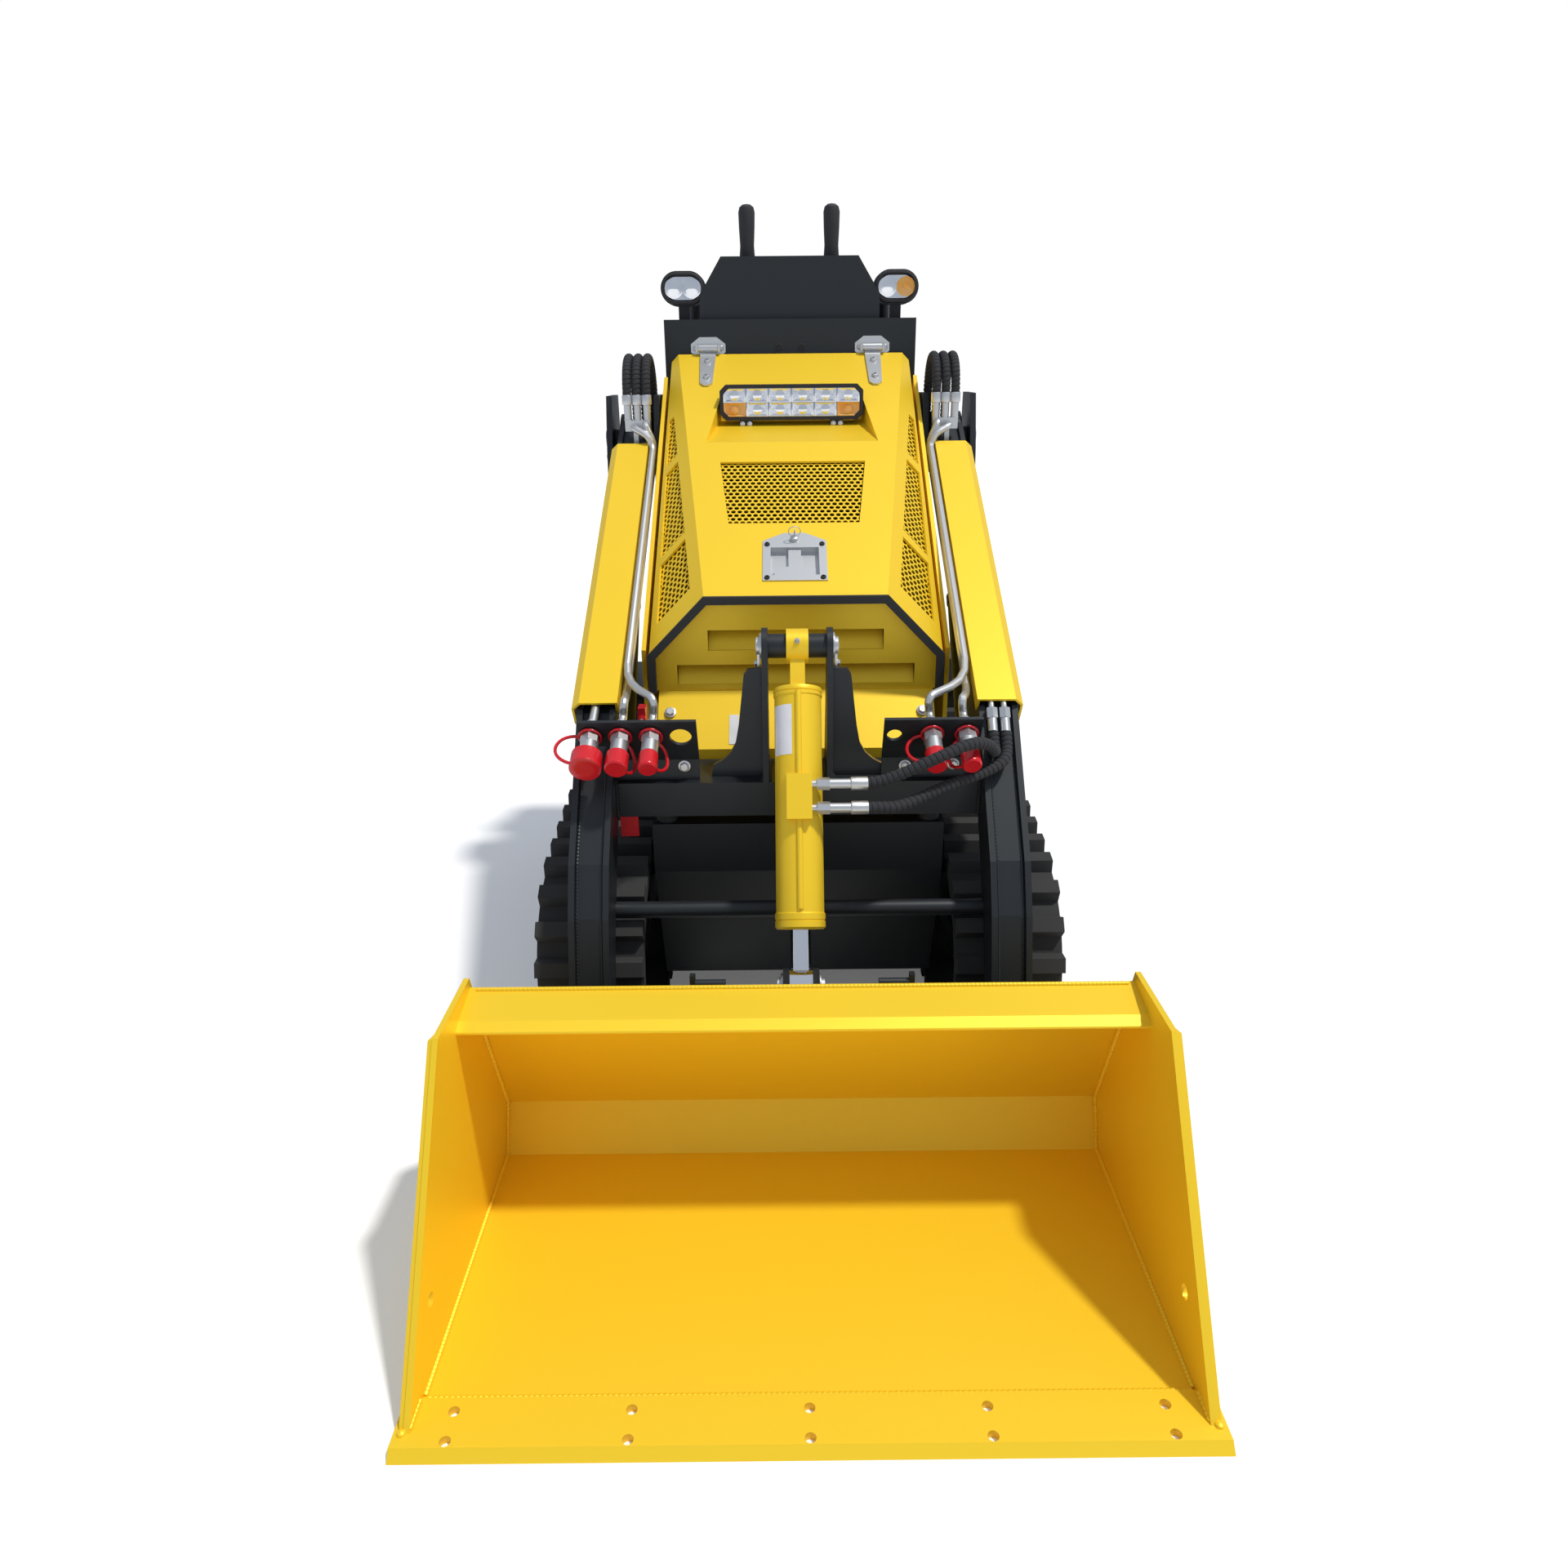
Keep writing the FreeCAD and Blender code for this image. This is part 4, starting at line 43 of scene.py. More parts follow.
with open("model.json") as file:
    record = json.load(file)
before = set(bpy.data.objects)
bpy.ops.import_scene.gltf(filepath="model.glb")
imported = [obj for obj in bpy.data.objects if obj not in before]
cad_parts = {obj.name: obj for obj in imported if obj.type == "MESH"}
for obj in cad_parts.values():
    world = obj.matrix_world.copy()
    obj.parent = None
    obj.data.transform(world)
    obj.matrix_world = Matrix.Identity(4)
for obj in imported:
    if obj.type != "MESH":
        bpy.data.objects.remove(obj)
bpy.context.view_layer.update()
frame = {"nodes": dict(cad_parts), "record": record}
MM = 0.001
LIP_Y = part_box("cutting_edge")[0].y


def spot(x, y, z):
    """A place in metres from millimetres: X across, Y behind the bucket's lip, Z up."""
    return Vector((x * MM, y * MM + LIP_Y, z * MM))


def colour_property(name, about, default):
    return bpy.props.FloatVectorProperty(
        name=name, description=about, subtype="COLOR", size=3, min=0.0, max=1.0, default=default)


class LoaderColours(bpy.types.PropertyGroup):
    yellow: colour_property("Yellow", "Yellow paint of hood, covers and bucket", (0.77, 0.325, 0.0015))
    black: colour_property("Black", "Gloss black paint of arms and chassis", (0.0018, 0.0028, 0.0055))
    rubber: colour_property("Rubber", "Rubber of the tracks", (0.022, 0.023, 0.026))
    zinc: colour_property("Zinc", "Zinc plating of fasteners and couplers", (0.80, 0.82, 0.84))
    red: colour_property("Red", "Red caps of the couplers", (0.55, 0.010, 0.018))
    label: colour_property("Label", "Blank stickers", (0.80, 0.80, 0.82))


class LoaderSizes(bpy.types.PropertyGroup):
    edge_radius: bpy.props.FloatProperty(
        name="Edge radius", description="How round the painted edges look", unit="LENGTH",
        default=1.6 * MM, min=0.0, max=0.01)


def colours():
    return bpy.context.scene.loader_colours


def sizes():
    return bpy.context.scene.loader_sizes


# Finishes.
class Finish:
    """A material with its shader, and short ways to add and join nodes."""

    def __init__(self, name, colour, roughness, metallic=0.0, **sockets):
        self.material = bpy.data.materials.new(name)
        self.material.use_nodes = True
        self.tree = self.material.node_tree
        self.shader = self.tree.nodes["Principled BSDF"]
        self.colour = tuple(colour)[:3]
        self.material.diffuse_color = (*self.colour, 1.0)
        self.set(Base_Color=(*self.colour, 1.0), Roughness=roughness, Metallic=metallic, **sockets)
        self.place = self.add("ShaderNodeTexCoord").outputs["Object"]

    def set(self, **sockets):
        for socket, number in sockets.items():
            self.shader.inputs[socket.replace("_", " ")].default_value = number

    def add(self, kind, settings=None, **sockets):
        made = self.tree.nodes.new(kind)
        for field, value in (settings or {}).items():
            setattr(made, field, value)
        for socket, value in sockets.items():
            target = made.inputs[socket.replace("_", " ")]
            if isinstance(value, bpy.types.NodeSocket):
                self.tree.links.new(value, target)
            else:
                target.default_value = value
        return made

    def link(self, output, socket):
        self.tree.links.new(output, self.shader.inputs[socket])

    def noise(self, scale, detail=3.0, stretch=(1.0, 1.0, 1.0)):
        """Noise over the object, finer along an axis where stretch is larger."""
        where = self.place
        if stretch != (1.0, 1.0, 1.0):
            where = self.add("ShaderNodeMapping", Vector=self.place, Scale=stretch).outputs["Vector"]
        return self.add("ShaderNodeTexNoise", Vector=where, Scale=scale, Detail=detail).outputs["Fac"]

    def ramp(self, value, low, high, first, last):
        """Maps low to high of a value onto first to last, held at the ends."""
        node = self.add("ShaderNodeMapRange", Value=value, From_Min=low, From_Max=high,
                        To_Min=first, To_Max=last)
        return node.outputs["Result"]

    def mottle(self, value, low, high, other):
        """Blends the base colour towards another one where the value is high."""
        mask = self.ramp(value, low, high, 0.0, 1.0)
        self.tint(mask, other)

    def tint(self, mask, other):
        socket = self.shader.inputs["Base Color"]
        mix = self.add("ShaderNodeMix", {"data_type": "RGBA"})
        if socket.links:
            self.tree.links.new(socket.links[0].from_socket, mix.inputs["A"])
        else:
            mix.inputs["A"].default_value = (*self.colour, 1.0)
        mix.inputs["B"].default_value = (*other, 1.0)
        self.tree.links.new(mask, mix.inputs["Factor"])
        self.link(mix.outputs["Result"], "Base Color")

    def vary_roughness(self, value, first, last):
        self.link(self.ramp(value, 0.3, 0.7, first, last), "Roughness")

    def bump(self, height, strength, distance, rounded=0.0):
        """Bump from a height, over edges that look rounded to a radius."""
        node = self.add("ShaderNodeBump", Height=height, Strength=strength, Distance=distance)
        if rounded:
            edge = self.add("ShaderNodeBevel", {"samples": 6}, Radius=rounded)
            self.tree.links.new(edge.outputs["Normal"], node.inputs["Normal"])
        self.link(node.outputs["Normal"], "Normal")


def yellow_paint():
    base = colours().yellow
    finish = Finish("yellow_paint", base, 0.34, Coat_Weight=0.08, Coat_Roughness=0.12,
                    Specular_IOR_Level=0.12)
    broad = finish.noise(3.5, 4.0)
    finish.mottle(broad, 0.35, 0.75, (base[0] * 0.94, base[1] * 0.88, base[2]))
    specks = finish.noise(160.0, 1.0)
    finish.tint(finish.ramp(specks, 0.80, 0.84, 0.0, 0.8), (0.16, 0.07, 0.01))
    finish.vary_roughness(finish.noise(14.0), 0.26, 0.42)
    finish.bump(finish.noise(420.0, 2.0), 0.10, 0.0004, sizes().edge_radius)
    return finish.material


def black_paint():
    finish = Finish("black_paint", colours().black, 0.12, Coat_Weight=0.06, Coat_Roughness=0.03,
                    Specular_IOR_Level=0.06)
    finish.mottle(finish.noise(6.0, 5.0), 0.5, 0.8, (0.004, 0.006, 0.011))
    finish.vary_roughness(finish.noise(22.0, 5.0), 0.08, 0.20)
    finish.bump(finish.noise(180.0, 2.0), 0.12, 0.0006, sizes().edge_radius)
    return finish.material


def hose_rubber():
    finish = Finish("hose_rubber", (0.012, 0.012, 0.014), 0.38, Specular_IOR_Level=0.5)
    finish.mottle(finish.noise(50.0, 4.0), 0.5, 0.8, (0.030, 0.030, 0.032))
    finish.vary_roughness(finish.noise(60.0, 3.0), 0.30, 0.50)
    finish.bump(finish.noise(700.0, 3.0), 0.2, 0.0004)
    return finish.material


def label_film():
    base = colours().label
    finish = Finish("label_film", base, 0.35, Coat_Weight=0.3)
    finish.mottle(finish.noise(30.0, 3.0), 0.4, 0.8, (base[0] * 0.86, base[1] * 0.86, base[2] * 0.84))
    finish.vary_roughness(finish.noise(50.0), 0.28, 0.44)
    finish.bump(finish.noise(200.0), 0.06, 0.0003)
    return finish.material


def lamp_mirror():
    finish = Finish("lamp_mirror", (0.86, 0.87, 0.89), 0.12, 1.0, Coat_Weight=0.8, Coat_Roughness=0.03)
    finish.mottle(finish.noise(24.0, 2.0), 0.4, 0.8, (0.70, 0.72, 0.75))
    finish.vary_roughness(finish.noise(70.0), 0.08, 0.20)
    finish.bump(finish.noise(130.0, 1.0, (3.0, 1.0, 1.0)), 0.15, 0.0008)
    return finish.material


def amber_lens():
    finish = Finish("amber_lens", (0.86, 0.36, 0.03), 0.15, Coat_Weight=0.6, Coat_Roughness=0.04)
    finish.mottle(finish.noise(40.0, 2.0), 0.4, 0.8, (0.75, 0.50, 0.16))
    finish.vary_roughness(finish.noise(70.0), 0.10, 0.24)
    finish.bump(finish.noise(200.0), 0.1, 0.0004)
    return finish.material


def track_rubber():
    finish = Finish("track_rubber", colours().rubber, 0.7, Specular_IOR_Level=0.35)
    finish.mottle(finish.noise(26.0, 6.0), 0.45, 0.75, (0.055, 0.053, 0.050))
    finish.vary_roughness(finish.noise(40.0, 4.0), 0.55, 0.85)
    finish.bump(finish.noise(300.0, 5.0), 0.35, 0.0010, 3.0 * MM)
    return finish.material


def zinc_steel():
    finish = Finish("zinc_steel", colours().zinc, 0.28, 1.0)
    finish.mottle(finish.noise(60.0, 4.0), 0.4, 0.7, (0.62, 0.63, 0.64))
    finish.vary_roughness(finish.noise(90.0, 3.0), 0.14, 0.30)
    finish.bump(finish.noise(500.0, 2.0), 0.08, 0.0003, 0.8 * MM)
    return finish.material


def rod_chrome():
    finish = Finish("rod_chrome", (0.82, 0.82, 0.83), 0.08, 1.0)
    grind = finish.noise(60.0, 2.0, (1.0, 1.0, 14.0))
    finish.vary_roughness(grind, 0.05, 0.14)
    finish.bump(grind, 0.03, 0.0002)
    return finish.material


def black_plastic():
    finish = Finish("black_plastic", (0.016, 0.016, 0.018), 0.42)
    finish.mottle(finish.noise(30.0), 0.5, 0.8, (0.028, 0.028, 0.030))
    finish.vary_roughness(finish.noise(18.0), 0.34, 0.52)
    finish.bump(finish.noise(650.0, 3.0), 0.18, 0.0004, 1.2 * MM)
    return finish.material


def red_plastic():
    base = colours().red
    finish = Finish("red_plastic", base, 0.36, Coat_Weight=0.2, Subsurface_Weight=0.05)
    finish.mottle(finish.noise(40.0), 0.4, 0.8, (base[0] * 0.7, base[1], base[2]))
    finish.vary_roughness(finish.noise(50.0), 0.28, 0.46)
    finish.bump(finish.noise(300.0), 0.1, 0.0004, 1.0 * MM)
    return finish.material


def red_paint():
    finish = Finish("red_paint", (0.42, 0.008, 0.012), 0.3, Coat_Weight=0.3)
    finish.mottle(finish.noise(20.0, 4.0), 0.5, 0.8, (0.25, 0.006, 0.010))
    finish.vary_roughness(finish.noise(30.0), 0.22, 0.45)
    finish.bump(finish.noise(250.0), 0.12, 0.0005, 1.2 * MM)
    return finish.material


def engine_metal():
    finish = Finish("engine_metal", (0.10, 0.10, 0.105), 0.55, 0.7)
    finish.mottle(finish.noise(18.0, 6.0), 0.4, 0.7, (0.04, 0.04, 0.042))
    finish.vary_roughness(finish.noise(35.0, 5.0), 0.45, 0.7)
    finish.bump(finish.noise(120.0, 5.0), 0.5, 0.0015, 2.0 * MM)
    return finish.material


MAKERS = {
    "yellow_paint": yellow_paint, "black_paint": black_paint, "track_rubber": track_rubber,
    "hose_rubber": hose_rubber, "label_film": label_film, "lamp_mirror": lamp_mirror,
    "amber_lens": amber_lens, "zinc_steel": zinc_steel, "rod_chrome": rod_chrome,
    "black_plastic": black_plastic, "red_plastic": red_plastic, "red_paint": red_paint,
    "engine_metal": engine_metal,
}


def finish_of(name):
    """The file's material of this name, which may be the frame's own, or else a finish made here."""
    return bpy.data.materials.get(name) or MAKERS[name]()


class NodeFinishes(bpy.types.Operator):
    """Gives every CAD node the material of its slot"""
    bl_idname = "loader.node_finishes"
    bl_label = "Node finishes"

    def execute(self, context):
        for row in frame["record"]["subparts"]:
            node = frame["nodes"][row["node"]]
            material = finish_of(row["material_slot"])
            node.data.materials.clear()
            node.data.materials.append(material)
        return {"FINISHED"}


# Making of meshes, in millimetres with Y counted from the bucket's lip.
X, Y, Z = Vector((1, 0, 0)), Vector((0, 1, 0)), Vector((0, 0, 1))


def square_to(way):
    """Two directions square to this one and to each other."""
    side = way.cross(X if abs(way.x) < 0.7 * way.length else Z).normalized()
    return side, way.cross(side).normalized()


def circle(middle, side, deep, radius, count, turn=0.0):
    rays = [turn + math.tau * number / count for number in range(count)]
    return [middle + side * (radius * math.cos(ray)) + deep * (radius * math.sin(ray)) for ray in rays]


class Piece:
    """A mesh being built, with the finishes that its faces use."""

    def __init__(self, name, finish):
        self.name = name
        self.work = bmesh.new()
        self.finishes = []
        self.use(finish)

    def use(self, finish):
        if finish not in self.finishes:
            self.finishes.append(finish)
        self.index = self.finishes.index(finish)

    def face(self, corners):
        made = self.work.faces.new(corners)
        made.material_index = self.index

    def loft(self, rings, ends=True, loop=False):
        """Skins rings of as many points each, one after another."""
        rows = [[self.work.verts.new(spot(*place)) for place in ring] for ring in rings]
        pairs = list(zip(rows, rows[1:])) + ([(rows[-1], rows[0])] if loop else [])
        for first, last in pairs:
            for index in range(len(first)):
                after = (index + 1) % len(first)
                self.face((first[index], first[after], last[after], last[index]))
        if ends and not loop:
            self.face(rows[0][::-1])
            self.face(rows[-1])

    def lathe(self, place, way, profile, count=24, turn=0.0):
        """A round form: its profile is a list of distances along the axis and radii."""
        place, way = Vector(place), Vector(way).normalized()
        side, deep = square_to(way)
        self.loft([circle(place + way * far, side, deep, radius, count, turn)
                   for far, radius in profile])

    def bolt(self, place, way, size=7.0, washer=True):
        """A hexagon head with its chamfer, on a washer."""
        if washer:
            self.lathe(place, way, ((0, size * 1.45), (size * 0.22, size * 1.45),
                                    (size * 0.25, size * 1.36)), 20)
        base = size * 0.25
        self.lathe(place, way, ((base, size * 1.1), (base + size * 0.62, size * 1.1),
                                (base + size * 0.78, size * 0.92)), 6)

    def screw(self, place, way, size=6.0):
        """A domed head with a hexagon socket."""
        self.lathe(place, way, ((0, size), (size * 0.35, size * 0.97), (size * 0.62, size * 0.72),
                                (size * 0.66, size * 0.46), (size * 0.3, size * 0.42)), 18)

    def slab(self, corners, rise, round_off=1.0):
        """A plate on these corners, as thick as the vector, with its top edges taken off."""
        corners = [Vector(corner) for corner in corners]
        middle = sum(corners, Vector()) / len(corners)
        small = [corner + (middle - corner).normalized() * round_off for corner in corners]
        step = rise.normalized() * min(round_off, rise.length * 0.5)
        self.loft([corners, [corner + rise - step for corner in corners],
                   [corner + rise for corner in small]])

    def tube(self, points, radius, count=12, ends=True):
        """A round bar along points; its radius is a number or one for each point."""
        points = [Vector(point) for point in points]
        radii = radius if isinstance(radius, (list, tuple)) else [radius] * len(points)
        rings = []
        way = (points[1] - points[0]).normalized()
        side = square_to(way)[0]
        for index, point in enumerate(points):
            before = points[max(index - 1, 0)]
            after = points[min(index + 1, len(points) - 1)]
            way = (after - before).normalized()
            side = (side - way * side.dot(way)).normalized()
            rings.append(circle(point, side, way.cross(side), radii[index], count))
        self.loft(rings, ends)

    def bead(self, first, last, radius, step=6.0):
        """A weld bead between two points, with the ripples of its runs."""
        first, last = Vector(first), Vector(last)
        count = max(4, int((last - first).length / step) * 3)
        points = [first.lerp(last, number / count) for number in range(count + 1)]
        radii = [radius * (0.86 + 0.18 * (number % 3)) for number in range(count + 1)]
        self.tube(points, radii, 8)

    def done(self, body, slot, *nodes):
        """Makes the object and rides it on its body; the slot argument is not used."""
        bmesh.ops.recalc_face_normals(self.work, faces=self.work.faces)
        mesh = bpy.data.meshes.new(self.name)
        self.work.to_mesh(mesh)
        self.work.free()
        for finish in self.finishes:
            mesh.materials.append(finish_of(finish))
        for polygon in mesh.polygons:
            polygon.use_smooth = True
        mesh.set_sharp_from_angle(angle=math.radians(38))
        piece = bpy.data.objects.new(self.name, mesh)
        bpy.context.scene.collection.objects.link(piece)
        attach(piece, body)
        if nodes:
            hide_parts(*nodes)
        return piece


# Hoses.
SIDES = (("left", -1), ("right", 1))
TILT_ROUTES = (
    ((87, 682.2, 585.1), (124, 682.2, 585.1), (165, 680, 603), (219, 682, 628),
     (272, 702, 645), (305, 728, 632), (320, 752, 608), (324, 782.4, 605.7),
     (324, 800.4, 627.2)),
    ((87, 663.1, 552), (123, 663.1, 552), (160, 668, 550), (223, 698, 568), (275, 722, 577),
     (315, 742, 585), (338, 757, 594), (345, 782.4, 605.7), (345, 800.4, 627.2)),
)
ARM_ROUTE = ((1513, 1118.3), (1513, 1150), (1526, 1185), (1556, 1208), (1592, 1212),
             (1626, 1196), (1648, 1166), (1657, 1130), (1659, 1090), (1667, 1048),
             (1686, 1010), (1712, 985), (1739.7, 985))
TILT_HOSE_LENGTH = 0.332
ARM_HOSE_LENGTH = 0.437
HOSE_RADIUS = 9.5
HOSE_X = 305.5
HOSE_PITCH = 20.0


def hose_line(name, route):
    """A curve of one smooth spline that follows a route's points."""
    curve = bpy.data.curves.new(name, "CURVE")
    curve.dimensions = "3D"
    line = curve.splines.new("NURBS")
    line.points.add(len(route) - 1)
    for point, place in zip(line.points, route):
        point.co = (*spot(*place), 1.0)
    line.order_u = 3
    line.use_endpoint_u = True
    line.resolution_u = 16
    return curve


def line_points(curve, step):
    """Points a step apart along a curve without thickness, in millimetres from the lip."""
    helper = bpy.data.objects.new(curve.name + "_line", curve)
    places = [vertex.co.copy() for vertex in bpy.data.meshes.new_from_object(helper).vertices]
    bpy.data.objects.remove(helper)
    runs = [(last - first).length for first, last in zip(places, places[1:])]
    count = int(sum(runs) / (step * MM))
    points = []
    for number in range(count + 1):
        left = sum(runs) * number / count
        index = 0
        while index < len(runs) - 1 and left > runs[index]:
            left -= runs[index]
            index += 1
        place = places[index].lerp(places[index + 1], min(1.0, left / runs[index]))
        points.append(Vector((place.x / MM, (place.y - LIP_Y) / MM, place.z / MM)))
    return points


class Hoses(bpy.types.Operator):
    """Adds the tilt cylinder's two guarded hoses and the three hoses of each arm"""
    bl_idname = "loader.hoses"
    bl_label = "Hoses"

    def execute(self, context):
        for number, route in enumerate(TILT_ROUTES):
            self.hose("tilt_hose_%d" % number, route, TILT_HOSE_LENGTH, "tilt_hoses")
        for name, side in SIDES:
            for number in range(3):
                x = side * (HOSE_X + HOSE_PITCH * number)
                route = [(x, y, z) for y, z in ARM_ROUTE]
                self.hose("arm_hose_%s_%d" % (name, number), route, ARM_HOSE_LENGTH, "tower_hoses")
        return {"FINISHED"}

    def hose(self, name, route, length, node):
        """A guarded hose along a route, in place of the CAD's own."""
        line = line_points(hose_line(name + "_line", route), 1.0)
        piece = Piece(name, "hose_rubber")
        piece.loft(self.guard(line), True)
        piece.done("arms", "hose_rubber", node)

    def guard(self, line):
        """Rings along the line, thicker where a spiral guard's band passes."""
        rings = []
        side = square_to((line[1] - line[0]).normalized())[0]
        count = 20
        for index, place in enumerate(line):
            before, after = line[max(index - 1, 0)], line[min(index + 1, len(line) - 1)]
            way = (after - before).normalized()
            side = (side - way * side.dot(way)).normalized()
            deep = way.cross(side)
            ring = []
            for number in range(count):
                turn = number / count
                wave = (index / 9.0 - turn) % 1.0
                lift = 0.0 if wave > 0.74 else 1.0
                radius = HOSE_RADIUS - 1.3 + 1.3 * lift
                ray = turn * math.tau
                ring.append(place + side * (radius * math.cos(ray)) + deep * (radius * math.sin(ray)))
            rings.append(ring)
        return rings


# Hood: grilles, light bar and fasteners.
HOOD_SLOPE = (1217 - 820) / (1664 - 976)
HOOD_UP = Vector((0, -HOOD_SLOPE, 1)).normalized()
SHOULDER_REAR_Z = 1217 - (262 - 247) * (820 - 717) / (262 - 161)
SHOULDER_WINDOWS = ((0.07, 0.245), (0.27, 0.55), (0.58, 0.75))
CENTRE_WINDOW = ((-122, 1152), (122, 1152), (143, 1318), (-143, 1318))
HOLE_PITCH, HOLE_ROW, HOLE_RADIUS = 12.0, 11.0, 4.8


def on_hood(x, y, lift=0.0):
    """A place on the hood's top face, from its X and its distance behind the lip."""
    return Vector((x, y, 820 + HOOD_SLOPE * (y - 976))) + HOOD_UP * lift


def on_shoulder(side, share, inwards):
    """A place on a shoulder: a share of the hood's length, and of the shoulder's width."""
    y = 976 + 688 * share
    crease = 161 + 86 * share
    top = on_hood(0, y).z
    low = 717 + (SHOULDER_REAR_Z - 717) * share
    return Vector(((crease + (262 - crease) * inwards) * side, y, top + (low - top) * inwards))


def perforate(piece, corners, depth=2.0, under=5.0):
    """A sheet of ringed cells with round holes, laid under an opening in the hood."""
    normal = (corners[1] - corners[0]).cross(corners[2] - corners[1]).normalized()
    normal *= math.copysign(1, normal.z)
    side = (corners[1] - corners[0]).normalized()
    onward = normal.cross(side)
    flat = [((corner - corners[0]).dot(side), (corner - corners[0]).dot(onward)) for corner in corners]
    low_u, high_u = min(u for u, v in flat), max(u for u, v in flat)
    low_v, high_v = min(v for u, v in flat), max(v for u, v in flat)
    hexagon = [(0, 2 / 3), (0.5, 1 / 3), (0.5, -1 / 3), (0, -2 / 3), (-0.5, -1 / 3), (-0.5, 1 / 3)]
    rim = []
    for (first_u, first_v), (last_u, last_v) in zip(hexagon, hexagon[1:] + hexagon[:1]):
        for share in (0.0, 0.5):
            rim.append(((first_u + (last_u - first_u) * share) * HOLE_PITCH,
                        (first_v + (last_v - first_v) * share) * HOLE_ROW))
    rows = int((high_v - low_v) / HOLE_ROW) + 3
    columns = int((high_u - low_u) / HOLE_PITCH) + 3
    for row in range(-1, rows):
        v = (low_v + high_v) / 2 + HOLE_ROW * (row - rows // 2)
        for column in range(-columns, columns):
            u = (low_u + high_u) / 2 + HOLE_PITCH * (column + 0.5 * (row % 2))
            if not inside(flat, u, v, -3.0):
                continue
            middle = corners[0] + side * u + onward * v
            rings = []
            for scale, drop in ((1, under), (0, under), (0, under + depth), (1, under + depth)):
                ring = []
                for rim_u, rim_v in rim:
                    shrink = 1.0 if scale else HOLE_RADIUS / math.hypot(rim_u, rim_v)
                    ring.append(middle + side * (rim_u * shrink) + onward * (rim_v * shrink)
                                - normal * drop)
                rings.append(ring)
            piece.loft(rings, ends=False)


def inside(corners, u, v, margin):
    """Tells if a point lies inside a convex outline by at least this margin."""
    turns = []
    for (first_u, first_v), (last_u, last_v) in zip(corners, corners[1:] + corners[:1]):
        length = math.hypot(last_u - first_u, last_v - first_v)
        turns.append(((last_u - first_u) * (v - first_v) - (last_v - first_v) * (u - first_u)) / length)
    return min(turns) >= margin or max(turns) <= -margin


class HoodGrilles(bpy.types.Operator):
    """Lays finely perforated sheet under the openings of the hood"""
    bl_idname = "loader.hood_grilles"
    bl_label = "Hood grilles"

    def execute(self, context):
        piece = Piece("hood_mesh_sheets", "yellow_paint")
        perforate(piece, [on_hood(x, y) for x, y in CENTRE_WINDOW])
        for side in (-1, 1):
            for first, last in SHOULDER_WINDOWS:
                corners = []
                for share, places in ((first, (0, 1)), (last, (1, 0))):
                    width = math.sqrt(2) * (262 - (161 + 86 * share))
                    edges = (min(30 / width, 0.7), 0.88)
                    corners += [on_shoulder(side, share, edges[place]) for place in places]
                perforate(piece, corners)
        bmesh.ops.remove_doubles(piece.work, verts=piece.work.verts, dist=0.05 * MM)
        piece.done("hood", "yellow_paint", "hood_grilles")
        return {"FINISHED"}


class LightBar(bpy.types.Operator):
    """Fills the light bar's frame with its lenses and screws its feet down"""
    bl_idname = "loader.light_bar"
    bl_label = "Light bar"

    def execute(self, context):
        piece = Piece("light_bar_lenses", "lamp_mirror")
        wide, high = 284 / 6, 56 / 2
        for row in range(2):
            for column in range(6):
                piece.use("amber_lens" if column in (0, 5) and row == 0 else "lamp_mirror")
                self.cell(piece, (column - 2.5) * wide, 1094 + high * (row + 0.5), wide, high)
        piece.use("zinc_steel")
        for x in (-95, 95):
            for way in (-1, 1):
                piece.bolt((x + way * 7.5, 1482, 1080), (0, -1, 0), 3.6)
        piece.done("hood", "black_plastic")
        return {"FINISHED"}

    def cell(self, piece, x, z, wide, high):
        """A shallow reflector with a round lens in its middle."""
        rings = []
        for grow, y in ((0.98, 1479.5), (0.9, 1479.0), (0.62, 1482.4)):
            half_x, half_z = wide / 2 * grow, high / 2 * grow
            rings.append([Vector((x + side * half_x, y, z + rise * half_z))
                          for side, rise in ((-1, -1), (1, -1), (1, 1), (-1, 1))])
        piece.loft([[corner + Y * 3.4 for corner in rings[0]]] + rings)
        piece.lathe((x, 1482.6, z), (0, -1, 0), ((0, 9.5), (1.6, 9.0), (2.8, 6.5), (3.4, 2.5)), 20)


